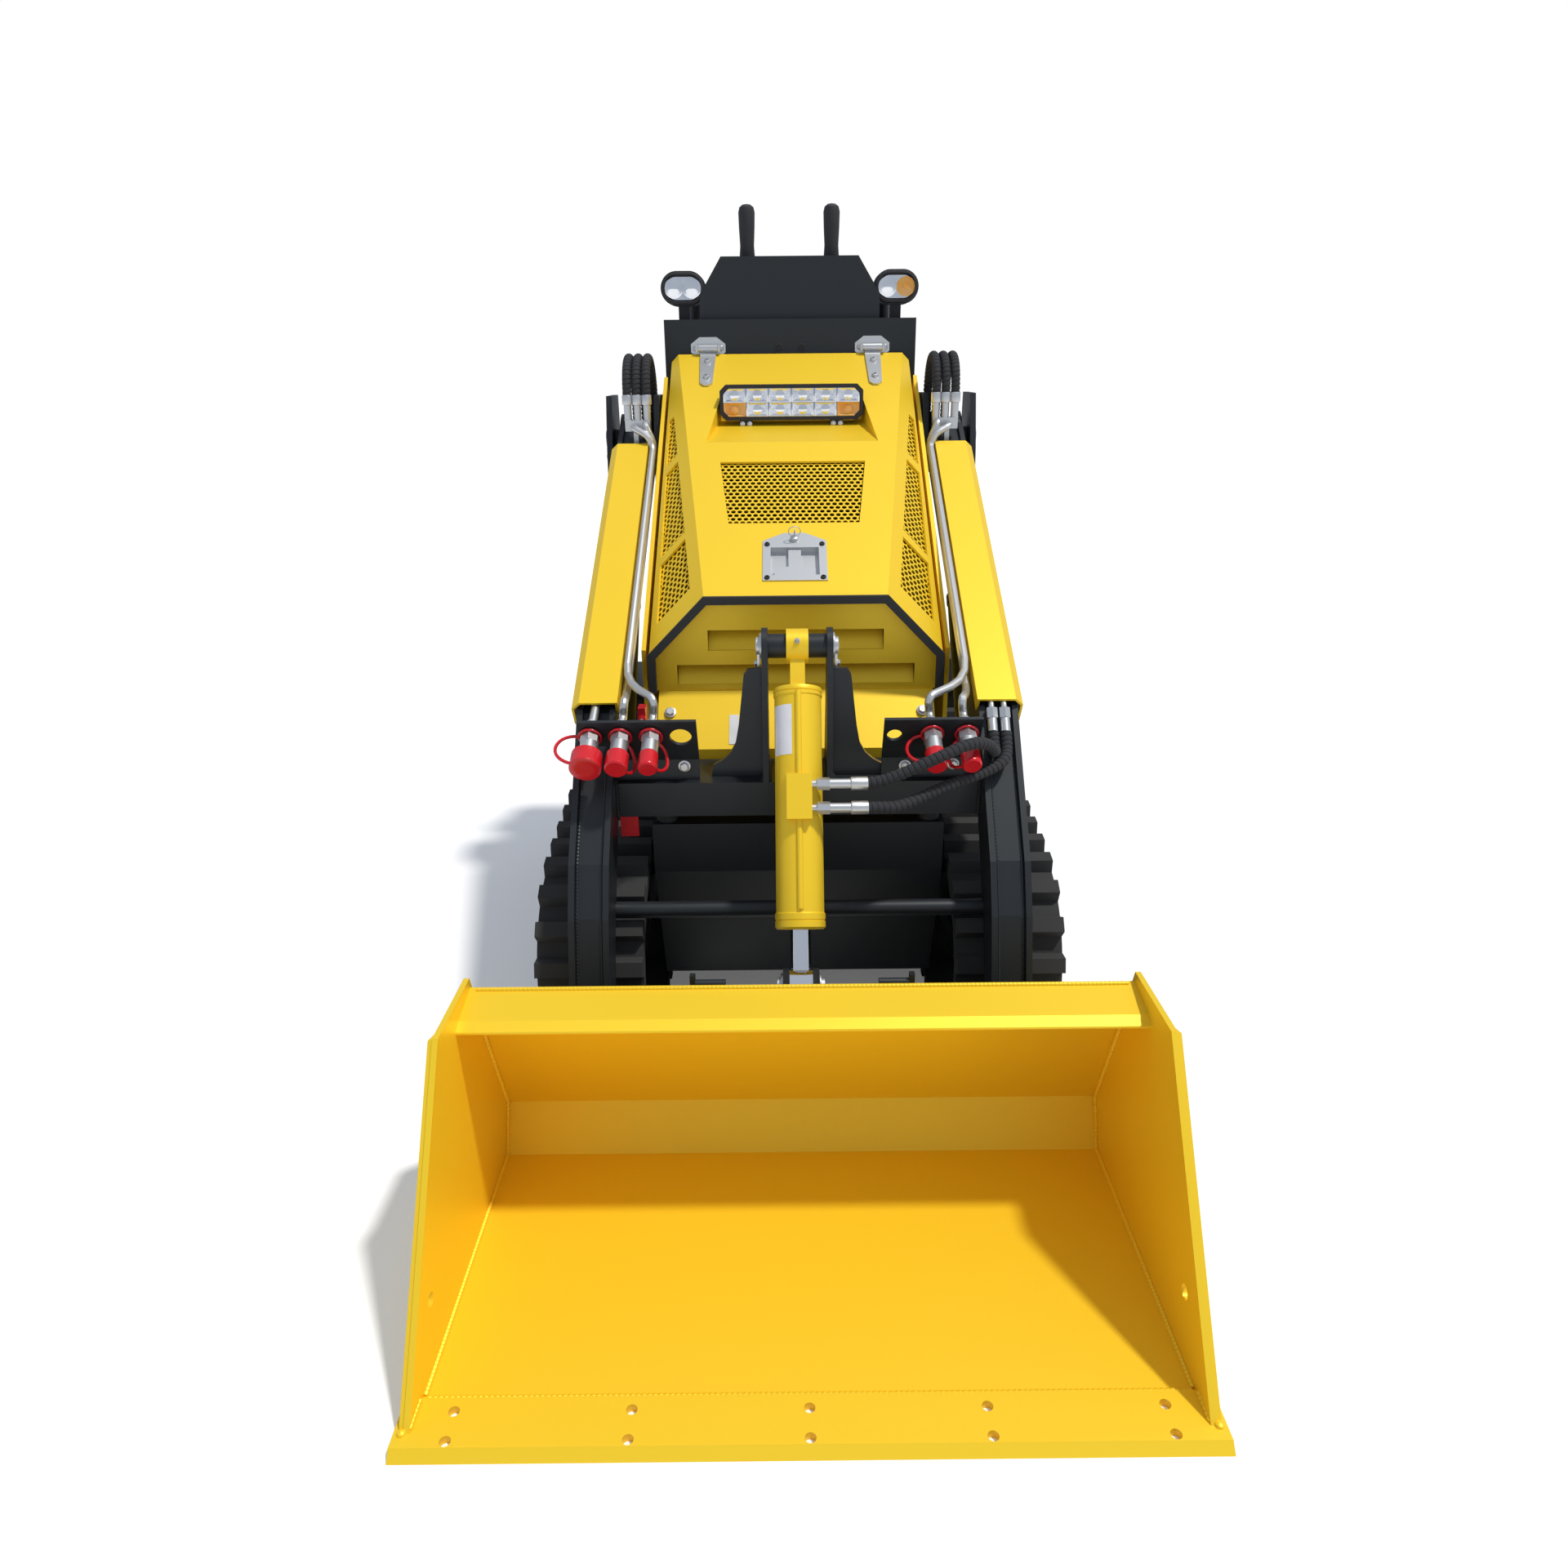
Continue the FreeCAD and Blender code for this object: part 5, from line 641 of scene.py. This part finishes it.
class HoodFasteners(bpy.types.Operator):
    """Adds the screws of hinges, latch, ledge and panels, and the latch's key ring"""
    bl_idname = "loader.hood_fasteners"
    bl_label = "Hood fasteners"

    def execute(self, context):
        piece = Piece("hood_screws", "zinc_steel")
        for side in (-1, 1):
            for y in (1632, 1578):
                piece.screw(on_hood(181 * side, y, 4.4), HOOD_UP, 7.5)
        piece.use("black_plastic")
        for x, y in ((-50, 1017), (50, 1017), (-50, 1096), (50, 1096)):
            piece.screw(on_hood(x, y, 2.4), HOOD_UP, 5.0)
        piece.use("zinc_steel")
        piece.lathe(on_hood(0, 1108, 2.2), HOOD_UP, ((0, 8), (5, 7.6), (6, 6.2)), 20)
        key = on_hood(0, 1108, 8)
        piece.slab([key + X * -1.2, key + X * 1.2, key + X * 1.2 + HOOD_UP * 14,
                    key + X * -1.2 + HOOD_UP * 14], Vector((0, 5, 3)), 0.5)
        ring = [key + HOOD_UP * (12 + 11 * math.sin(turn)) + X * (11 * math.cos(turn)) + Y * 2
                for turn in [math.tau * number / 24 for number in range(25)]]
        piece.tube(ring, 0.9, 6, ends=False)
        piece.done("hood", "zinc_steel")

        piece = Piece("body_screws", "zinc_steel")
        for side in (-1, 1):
            for x in (-28, 28):
                piece.screw((181 * side + x, 1670, 1229.5), (0, -1, 0), 6.0)
            piece.bolt((226 * side, 952, 617.8), (0, -0.716, 0.698), 7.0)
            for y in (1030, 1110):
                piece.bolt((278 * side, y, 560), (side, 0, 0), 6.5)
        piece.use("black_plastic")
        for x in (-25, 25):
            piece.lathe((x, 1674, 1230.5), (0, -1, 0),
                        ((0, 7.5), (1.6, 7.0), (1.8, 5.0), (0.6, 4.4)), 20)
        piece.use("label_film")
        low, high = Vector((-120, 909, 571.0)), Vector((-120, 950, 613.0))
        piece.slab([low, low + X * 17, high + X * 17, high], Vector((0, -0.72, 0.70)), 0.3)
        piece.done("chassis", "zinc_steel")
        return {"FINISHED"}


# Couplers, cylinders and pins.
LEAN = math.radians(25)
FLANGE_UP = Vector((0, -math.sin(LEAN), math.cos(LEAN)))
FLANGE_THROUGH = Vector((0, math.cos(LEAN), math.sin(LEAN)))
# X, radius of the cap, and the way that its strap bows out.
COUPLERS = ((-339, 26, -1.0, 0.1), (-290, 19, 0.5, -0.9), (-240, 16, 0.6, -0.8), (219, 17, -1.0, -0.2),
            (275, 16, -0.7, -0.8))


def on_coupler(x, distance, rise=57.0):
    """A place on a coupler's axis, this far back from its bracket."""
    return Vector((x, 800, 584)) + FLANGE_UP * rise + FLANGE_THROUGH * distance


class CouplerCaps(bpy.types.Operator):
    """Puts ribbed red dust caps with their straps on the couplers"""
    bl_idname = "loader.coupler_caps"
    bl_label = "Coupler caps"

    def execute(self, context):
        caps = Piece("coupler_dust_caps", "red_plastic")
        straps = Piece("coupler_straps", "red_plastic")
        ahead = -FLANGE_THROUGH
        for x, radius, across, rise in COUPLERS:
            start = on_coupler(x, -44.6)
            side, deep = square_to(ahead)
            rings = []
            for far, share, ribs in ((0, 0.84, 0), (1.5, 0.97, 0), (5, 0.98, 1), (24, 0.98, 1),
                                     (28, 1.0, 0), (31.5, 0.98, 0), (33.6, 0.86, 0), (33.0, 0.5, 0)):
                rings.append([start + ahead * far
                              + (side * math.cos(turn) + deep * math.sin(turn))
                              * (radius * share * (1.0 - 0.045 * ribs * (number % 2)))
                              for number, turn in enumerate([math.tau * n / 40 for n in range(40)])])
            caps.loft(rings)
            neck = on_coupler(x, -3.5)
            ring = circle(neck, side, deep, 17.6, 24)
            straps.tube(ring + ring[:1], 2.3, 8, ends=False)
            outwards = (X * across + FLANGE_UP * rise).normalized()
            straps.tube(self.bow([neck + outwards * 17.6, neck + outwards * (radius + 30) - ahead * 4,
                                  neck + outwards * (radius + 42) + ahead * 50,
                                  start + outwards * (radius - 1) + ahead * 20]), 2.8, 8)
        caps.done("arms", "red_plastic", "coupler_caps")
        straps.done("arms", "red_plastic")
        return {"FINISHED"}

    def bow(self, corners):
        """A smooth line from the first corner to the last, drawn towards those between."""
        points = []
        for number in range(15):
            share = number / 14
            row = corners
            while len(row) > 1:
                row = [first.lerp(last, share) for first, last in zip(row, row[1:])]
            points.append(row[0])
        return points


TILT_TOP = Vector((0, 835, 768))
TILT_WAY = (Vector((0, 561, 293)) - TILT_TOP).normalized()
TILT_FRONT = Vector((0, -abs(TILT_WAY.z), abs(TILT_WAY.y)))
BARREL_RADIUS = 38.0
NIPPLE = ((0, 4.6), (3, 4.6), (3.3, 3.1), (7, 2.7), (8, 3.5), (10, 2.3))


class CylinderDetails(bpy.types.Operator):
    """Adds the cylinders' rings and grease nipples, and the tilt cylinder's blank label"""
    bl_idname = "loader.cylinder_details"
    bl_label = "Cylinder details"

    def execute(self, context):
        piece = Piece("tilt_barrel_rings", "yellow_paint")
        for rows in (((73, 38.4), (75, 39.6), (80, 39.6), (80.7, 38.4), (81.8, 38.4), (82.5, 39.6),
                      (87, 39.6), (88.5, 38.2)),
                     ((434, 38.2), (436, 39.8), (445, 39.8), (445.8, 38.5), (447, 38.5),
                      (447.8, 39.8), (457, 39.8), (460.5, 36.5), (461, 17.5))):
            piece.lathe(TILT_TOP, TILT_WAY, rows, 48)
        piece.use("label_film")
        rings = []
        for number in range(9):
            turn = math.radians(-74 + 58 * number / 8)
            out = X * math.sin(turn) + TILT_FRONT * math.cos(turn)
            rings.append([TILT_TOP + TILT_WAY * far + out * (BARREL_RADIUS + lift)
                          for far, lift in ((105, 0.1), (105, 0.5), (186, 0.5), (186, 0.1))])
        piece.loft(rings)
        piece.use("zinc_steel")
        piece.lathe(TILT_TOP + TILT_FRONT * 27.5, TILT_FRONT, NIPPLE, 12)
        piece.done("tilt_barrel", "yellow_paint")

        piece = Piece("lift_barrel_rings", "black_paint")
        low, high = Vector((0, 1050, 495)), Vector((0, 1400, 915))
        way = (high - low).normalized()
        for side in (-1, 1):
            base = low + X * (337.5 * side)
            piece.use("black_paint")
            piece.lathe(base, way, ((28, 27.3), (30, 28.4), (38, 28.4), (39, 27.3)), 40)
            piece.lathe(base, way, ((322, 27.3), (324, 28.8), (332, 28.8), (333, 27.6), (334, 27.6),
                                    (335, 28.8), (343, 28.8), (346, 26), (346.5, 16.2)), 40)
            piece.use("zinc_steel")
            piece.lathe(base + Y * -25.5, -Y, NIPPLE, 12)
        piece.done("lift_barrels", "black_paint")
        return {"FINISHED"}


# Pins: body, X of the face that each one stands on, place in side view and radius.
PINS = (("arms", 58.3, 835, 768, 15), ("bucket", 28.3, 561, 293, 14),
        ("bucket", 380.3, 600, 148, 15), ("arms", 370, 1400, 915, 15),
        ("chassis", 397, 1600, 1045, 20), ("chassis", 365.8, 1050, 495, 15))
FRAME_WEB_X, DISH_X, TOWER_FACE_X = 390, 360, 397
IDLER, TAIL_WHEEL, SPROCKET = (850, 200), (1590, 105), (1690, 312)


class PinsAndBolts(bpy.types.Operator):
    """Adds pin heads with their keepers, and the bolts of brackets, towers and wheels"""
    bl_idname = "loader.pins_and_bolts"
    bl_label = "Pins and bolts"

    def execute(self, context):
        pieces = {body: Piece(body + "_pins", "zinc_steel")
                  for body in ("arms", "bucket", "chassis")}
        for body, x, y, z, radius in PINS:
            for side in (-1, 1):
                self.pin(pieces[body], Vector((x * side, y, z)), X * side, radius)
        arms, chassis = pieces["arms"], pieces["chassis"]
        for x, z in ((-190, 572.6), (179.4, 570.2), (260.1, 572.3)):
            arms.bolt((x, 800, z), -Y, 7.0)
        arms.use("black_paint")
        for side in (-1, 1):
            for x in (317.5, 357.5):
                line = [Vector((x * side, y, z)) for y, z in ((848, 655), (673, 451), (633, 374),
                                                             (573, 196))]
                for first, last in zip(line, line[1:]):
                    arms.bead(first, last, 2.8)
            arms.bead((305 * side, 784, 549), (305 * side, 898, 549), 3.5)
            arms.bead((304 * side, 783, 488), (304 * side, 783, 548), 3.5)
            for x in (47.5, 59.5):
                arms.bead((x * side, 790, 549), (x * side, 892, 549), 3.0)
        chassis.use("zinc_steel")
        for side in (-1, 1):
            for y, z in ((1468, 548), (1640, 548), (1468, 640), (1640, 640)):
                chassis.bolt((TOWER_FACE_X * side, y, z), X * side, 8.0)
            for y in (1030, 1070):
                chassis.bolt((283 * side, y, 450), (0, 0, 1), 6.0)
            for y, z in ((1100, 235), (1200, 235), (1300, 235), (1400, 235)):
                chassis.bolt((FRAME_WEB_X * side, y, z), X * side, 8.0)
            for (y, z), size in ((IDLER, 20), (TAIL_WHEEL, 16)):
                cap = ((0, size * 1.7), (4, size * 1.7), (5, size * 1.5), (5, size), (6, size))
                chassis.lathe((FRAME_WEB_X * side, y, z), X * side, cap, 32)
                chassis.bolt(((FRAME_WEB_X + 5) * side, y, z), X * side, size * 0.7)
            hub = Vector((DISH_X * side, *SPROCKET))
            chassis.lathe(hub, X * side, ((0, 62), (5, 62), (7, 58), (7, 40), (16, 36), (18, 30)), 40)
            for number in range(8):
                turn = math.tau * number / 8
                chassis.bolt(hub + Vector((6 * side, 50 * math.cos(turn), 50 * math.sin(turn))),
                             X * side, 5.5)
            chassis.lathe((DISH_X * side, *IDLER), X * side, ((0, 60), (6, 58), (8, 50), (20, 44)), 40)
        for body, piece in pieces.items():
            piece.done(body, "zinc_steel")
        return {"FINISHED"}

    def pin(self, piece, place, way, radius):
        """A pin's end with its collar, and a keeper plate held by a bolt."""
        piece.lathe(place, way, ((0, radius * 1.45), (3, radius * 1.45), (3.6, radius * 1.36)), 32)
        piece.lathe(place, way, ((3, radius), (8.6, radius), (9.6, radius - 1.2),
                                 (9.2, radius * 0.4)), 28)
        reach = radius * 1.9
        corners = [place + way * 3.4 + Z * rise + Y * wide
                   for rise, wide in ((-reach - 9, -9), (-reach - 9, 9), (-radius * 0.7, 9),
                                      (-radius * 0.7, -9))]
        piece.slab(corners, way * 4)
        piece.bolt(place + way * 7.2 - Z * reach, way, 5.0)


class BucketWelds(bpy.types.Operator):
    """Adds the bucket's weld beads and the wear strips along its side plates"""
    bl_idname = "loader.bucket_welds"
    bl_label = "Bucket welds"

    def execute(self, context):
        piece = Piece("bucket_weld_beads", "yellow_paint")
        piece.bead((-476, 79.5, 8.0), (476, 79.5, 8.0), 3.6, 7.0)
        for side in (-1, 1):
            line = [Vector((478.6 * side, y, z)) for y, z in ((84, 7.5), (518, 7.5), (552, 84),
                                                             (447, 356))]
            for first, last in zip(line, line[1:]):
                piece.bead(first, last, 3.4)
            piece.bead((482 * side, 34, 14), (482 * side, 74, 13.5), 4.2)
            for radius, place in ((6.0, (490, 30, 14)), (5.0, (487, 76, 13))):
                place = Vector((place[0] * side, *place[1:]))
                piece.lathe(place - Z * 2, Z, ((0, radius), (radius * 0.6, radius * 0.8),
                                               (radius * 0.9, radius * 0.3)), 14)
            strip = [Vector((488 * side, y, z))
                     for y, z in ((34, 14), (305, 380), (331, 372), (76, 14))]
            piece.slab(strip, X * (6 * side), 1.5)
            piece.bead(strip[3] + X * side, strip[2] + X * side, 2.4)
        piece.bead((-470, 448, 364), (470, 448, 364), 2.6)
        piece.done("bucket", "yellow_paint")
        return {"FINISHED"}


# Controls, console and platform.
CONSOLE_TOP_Z = 1288
CONSOLE_BACK_Y = 1889.8
LEVER_X, LEVER_Y = 93, 1752
SWITCH_X, SWITCH_Y = 160, 1800
LAMP_X, LAMP_FRONT_Y, LAMP_Z = 235, 1710, 1352
LOCK_PIN = (-265.5, 862, 634)


class Controls(bpy.types.Operator):
    """Shapes the control levers with their boots, fills the lamps and adds the switch lever"""
    bl_idname = "loader.controls"
    bl_label = "Controls"

    def execute(self, context):
        piece = Piece("lever_grips", "black_plastic")
        for side in (-1, 1):
            foot = Vector((LEVER_X * side, LEVER_Y, CONSOLE_TOP_Z))
            piece.lathe(foot, Z, ((0, 33), (3, 33), (4, 29), (8, 24), (11, 27), (14, 21), (17, 24),
                                  (20, 18), (23, 20), (27, 12), (30, 9.5)), 28)
            piece.lathe(foot, Z, ((24, 9), (112, 9)), 20)
            piece.lathe(foot, Z, ((106, 12), (110, 15.5), (122, 17.5), (150, 15.4), (186, 17.2),
                                  (216, 18.0), (226, 15.5), (231, 9), (232, 3)), 28)
        piece.done("chassis", "black_plastic", "control_levers")

        piece = Piece("lamp_fronts", "black_plastic")
        for side in (-1, 1):
            rings = []
            for ahead, grow in ((0, -2), (8, -3), (9.5, -5), (9.5, -8), (2, -10), (1, -12)):
                rings.append([Vector((LAMP_X * side + end * 16 + math.cos(turn) * (33 + grow),
                                      LAMP_FRONT_Y - ahead, LAMP_Z + math.sin(turn) * (35 + grow)))
                              for end, low in ((1, -90), (-1, 90))
                              for turn in [math.radians(low + 15 * step) for step in range(13)]])
            piece.use("black_plastic")
            piece.loft(rings)
            piece.use("lamp_mirror")
            piece.loft([[place + Y * 0.6 for place in rings[-1]],
                        [place - Y * 1.5 for place in rings[-1]]])
            for offset in (-20, 20):
                place = (LAMP_X * side + offset, LAMP_FRONT_Y, LAMP_Z)
                piece.use("amber_lens" if side > 0 and offset > 0 else "lamp_mirror")
                piece.lathe(place, -Y, ((0.8, 21), (5.6, 20.4), (6.2, 17), (6.0, 8), (7.4, 6)), 32)
        piece.use("black_plastic")
        piece.lathe((SWITCH_X, SWITCH_Y, CONSOLE_TOP_Z), Z,
                    ((0, 22), (6, 22), (8, 14), (14, 9), (60, 8), (62, 15), (74, 16), (84, 12), (86, 4)), 24)
        piece.done("chassis", "black_plastic")
        return {"FINISHED"}


class ConsoleDetails(bpy.types.Operator):
    """Adds the console's rear cover, the hoses' sleeves and the lock bar's pin"""
    bl_idname = "loader.console_details"
    bl_label = "Console details"

    def execute(self, context):
        piece = Piece("console_cover", "black_paint")
        wide, low, high = 222, 640, 1160
        outer = [Vector((x, CONSOLE_BACK_Y, z))
                 for x, z in ((-wide, low), (wide, low), (wide, high), (-wide, high))]
        piece.slab(outer, Y * 3.2, 2.0)
        piece.use("zinc_steel")
        for x in (-wide + 16, 0, wide - 16):
            for z in (low + 16, high - 16):
                piece.screw((x, CONSOLE_BACK_Y + 3, z), Y, 6.0)
        for side in (-1, 1):
            for number in range(3):
                x = side * (HOSE_X + HOSE_PITCH * number)
                piece.lathe((x, 1739, 985), -Y, ((0, 10.4), (2, 10.9), (22, 10.9), (24, 9.9)), 20)
        piece.done("chassis", "black_paint")

        piece = Piece("hose_sleeves", "zinc_steel")
        for side in (-1, 1):
            for number in range(3):
                x = side * (HOSE_X + HOSE_PITCH * number)
                piece.lathe((x, 1513, 1118.5), Z, ((0, 10.4), (2, 10.9), (18, 10.9), (20, 9.9)), 20)
            piece.bolt((side * 345, 1513, 1088), Z, 6.5)
        for route in TILT_ROUTES:
            start = Vector(route[0])
            piece.lathe(start - X * 6, X, ((0, 9.8), (1, 10.6), (26, 10.6), (27, 9.9)), 20)
        piece.use("red_paint")
        piece.lathe(LOCK_PIN, -Y, ((0, 8), (4, 8), (5, 6)), 16)
        piece.use("zinc_steel")
        piece.lathe(LOCK_PIN, -Y, ((4, 4.2), (16, 4.2), (17, 3)), 14)
        loop = circle(Vector(LOCK_PIN) - Y * 14 - Z * 12, X, Z, 12, 20)
        piece.tube(loop + loop[:1], 1.4, 6, ends=False)
        piece.done("arms", "zinc_steel")
        return {"FINISHED"}


class PlatformTread(bpy.types.Operator):
    """Adds the raised tread of the operator's platform"""
    bl_idname = "loader.platform_tread"
    bl_label = "Platform tread"

    def execute(self, context):
        piece = Piece("platform_tread_bars", "black_paint")
        for row in range(8):
            for column in range(17):
                x = -204 + 25.5 * column
                y = 1972 + 27 * row
                way = 1 if (row + column) % 2 else -1
                along, across = Vector((8, 5 * way, 0)), Vector((-1.4 * way, 2.4, 0))
                middle = Vector((x, y, 209.8))
                corners = [middle - along - across, middle + along - across,
                           middle + along + across, middle - along + across]
                piece.slab(corners, Z * 2.4, 0.6)
        piece.done("platform", "black_paint")
        return {"FINISHED"}


# Stage and camera.
CAMERA_PLACE = (-25.5, -865.1, 1201.3)
CAMERA_DOWN = math.radians(21.71)
CAMERA_TURN = math.radians(0.065)
CAMERA_ROLL = math.radians(-0.531)
PICTURE_SIDE = 1920
FOCAL_PIXELS = 1300
SENSOR = 36.0


def camera_axes():
    """Right, up and forward of the photograph's camera."""
    down, turn, roll = CAMERA_DOWN, CAMERA_TURN, CAMERA_ROLL
    ahead = Vector((math.sin(turn) * math.cos(down), math.cos(turn) * math.cos(down), -math.sin(down)))
    level = Vector((math.cos(turn), -math.sin(turn), 0.0))
    rise = level.cross(ahead)
    right = level * math.cos(roll) + rise * math.sin(roll)
    up = rise * math.cos(roll) - level * math.sin(roll)
    return right, up, ahead


def make_camera():
    data = bpy.data.cameras.new("photo_camera")
    data.sensor_width = SENSOR
    data.lens = SENSOR * FOCAL_PIXELS / PICTURE_SIDE
    data.clip_end = 100.0
    camera = bpy.data.objects.new("photo_camera", data)
    bpy.context.scene.collection.objects.link(camera)
    right, up, ahead = camera_axes()
    turn = Matrix((right, up, -ahead)).transposed().to_4x4()
    camera.matrix_world = Matrix.Translation(spot(*CAMERA_PLACE)) @ turn
    bpy.context.scene.camera = camera


class Stage(bpy.types.Operator):
    """Adds the pale floor, the soft lights and the camera"""
    bl_idname = "loader.stage"
    bl_label = "Stage"

    def execute(self, context):
        scene = context.scene
        scene.view_settings.view_transform = "Standard"
        make_camera()
        bpy.ops.mesh.primitive_plane_add(size=40.0, location=(0.0, 0.0, 0.0))
        floor = context.active_object
        floor.name = "floor"
        finish = Finish("floor_pale", (0.86, 0.86, 0.86), 0.9)
        finish.mottle(finish.noise(0.6), 0.3, 0.8, (0.84, 0.84, 0.84))
        glow = finish.add("ShaderNodeLightPath").outputs["Is Camera Ray"]
        finish.set(Emission_Color=(1.0, 1.0, 1.0, 1.0))
        finish.link(finish.ramp(glow, 0.0, 1.0, 0.0, 0.12), "Emission Strength")
        floor.data.materials.append(finish.material)

        world = bpy.data.worlds.new("studio")
        world.use_nodes = True
        scene.world = world
        nodes, links = world.node_tree.nodes, world.node_tree.links
        sky = nodes["Background"]
        sky.inputs["Color"].default_value = (0.78, 0.86, 1.0, 1.0)
        sky.inputs["Strength"].default_value = 0.55
        white = nodes.new("ShaderNodeBackground")
        white.inputs["Color"].default_value = (1.0, 1.0, 1.0, 1.0)
        path = nodes.new("ShaderNodeLightPath")
        mix = nodes.new("ShaderNodeMixShader")
        links.new(path.outputs["Is Camera Ray"], mix.inputs["Fac"])
        links.new(sky.outputs["Background"], mix.inputs[1])
        links.new(white.outputs["Background"], mix.inputs[2])
        links.new(mix.outputs["Shader"], nodes["World Output"].inputs["Surface"])

        sun_data = bpy.data.lights.new("key_sun", "SUN")
        sun_data.energy = 2.6
        sun_data.angle = math.radians(4.0)
        sun_data.color = (1.0, 0.97, 0.92)
        sun = bpy.data.objects.new("key_sun", sun_data)
        scene.collection.objects.link(sun)
        towards = Vector((0.42, -0.09, 1.0)).normalized()
        sun.rotation_mode = "QUATERNION"
        sun.rotation_quaternion = towards.to_track_quat("Z", "Y")
        return {"FINISHED"}


class LoaderPanel(bpy.types.Panel):
    bl_idname = "VIEW3D_PT_loader"
    bl_label = "Mini loader"
    bl_space_type = "VIEW_3D"
    bl_region_type = "UI"
    bl_category = "Loader"

    def draw(self, context):
        layout = self.layout
        for group in (context.scene.loader_colours, context.scene.loader_sizes):
            for field in group.bl_rna.properties.keys():
                if field not in ("rna_type", "name"):
                    layout.prop(group, field)
        for operator in OPERATORS:
            layout.operator(operator.bl_idname)


OPERATORS = (NodeFinishes, Stage, Hoses, HoodGrilles, LightBar, HoodFasteners, CouplerCaps,
             CylinderDetails, PinsAndBolts, BucketWelds, Controls, ConsoleDetails, PlatformTread)
CLASSES = (LoaderColours, LoaderSizes) + OPERATORS + (LoaderPanel,)


def register():
    for each in CLASSES:
        bpy.utils.register_class(each)
    bpy.types.Scene.loader_colours = bpy.props.PointerProperty(type=LoaderColours)
    bpy.types.Scene.loader_sizes = bpy.props.PointerProperty(type=LoaderSizes)


def unregister():
    del bpy.types.Scene.loader_sizes
    del bpy.types.Scene.loader_colours
    for each in reversed(CLASSES):
        bpy.utils.unregister_class(each)


def main():
    register()
    for operator in OPERATORS:
        group, name = operator.bl_idname.split(".")
        getattr(getattr(bpy.ops, group), name)()


if __name__ == "__main__":
    main()
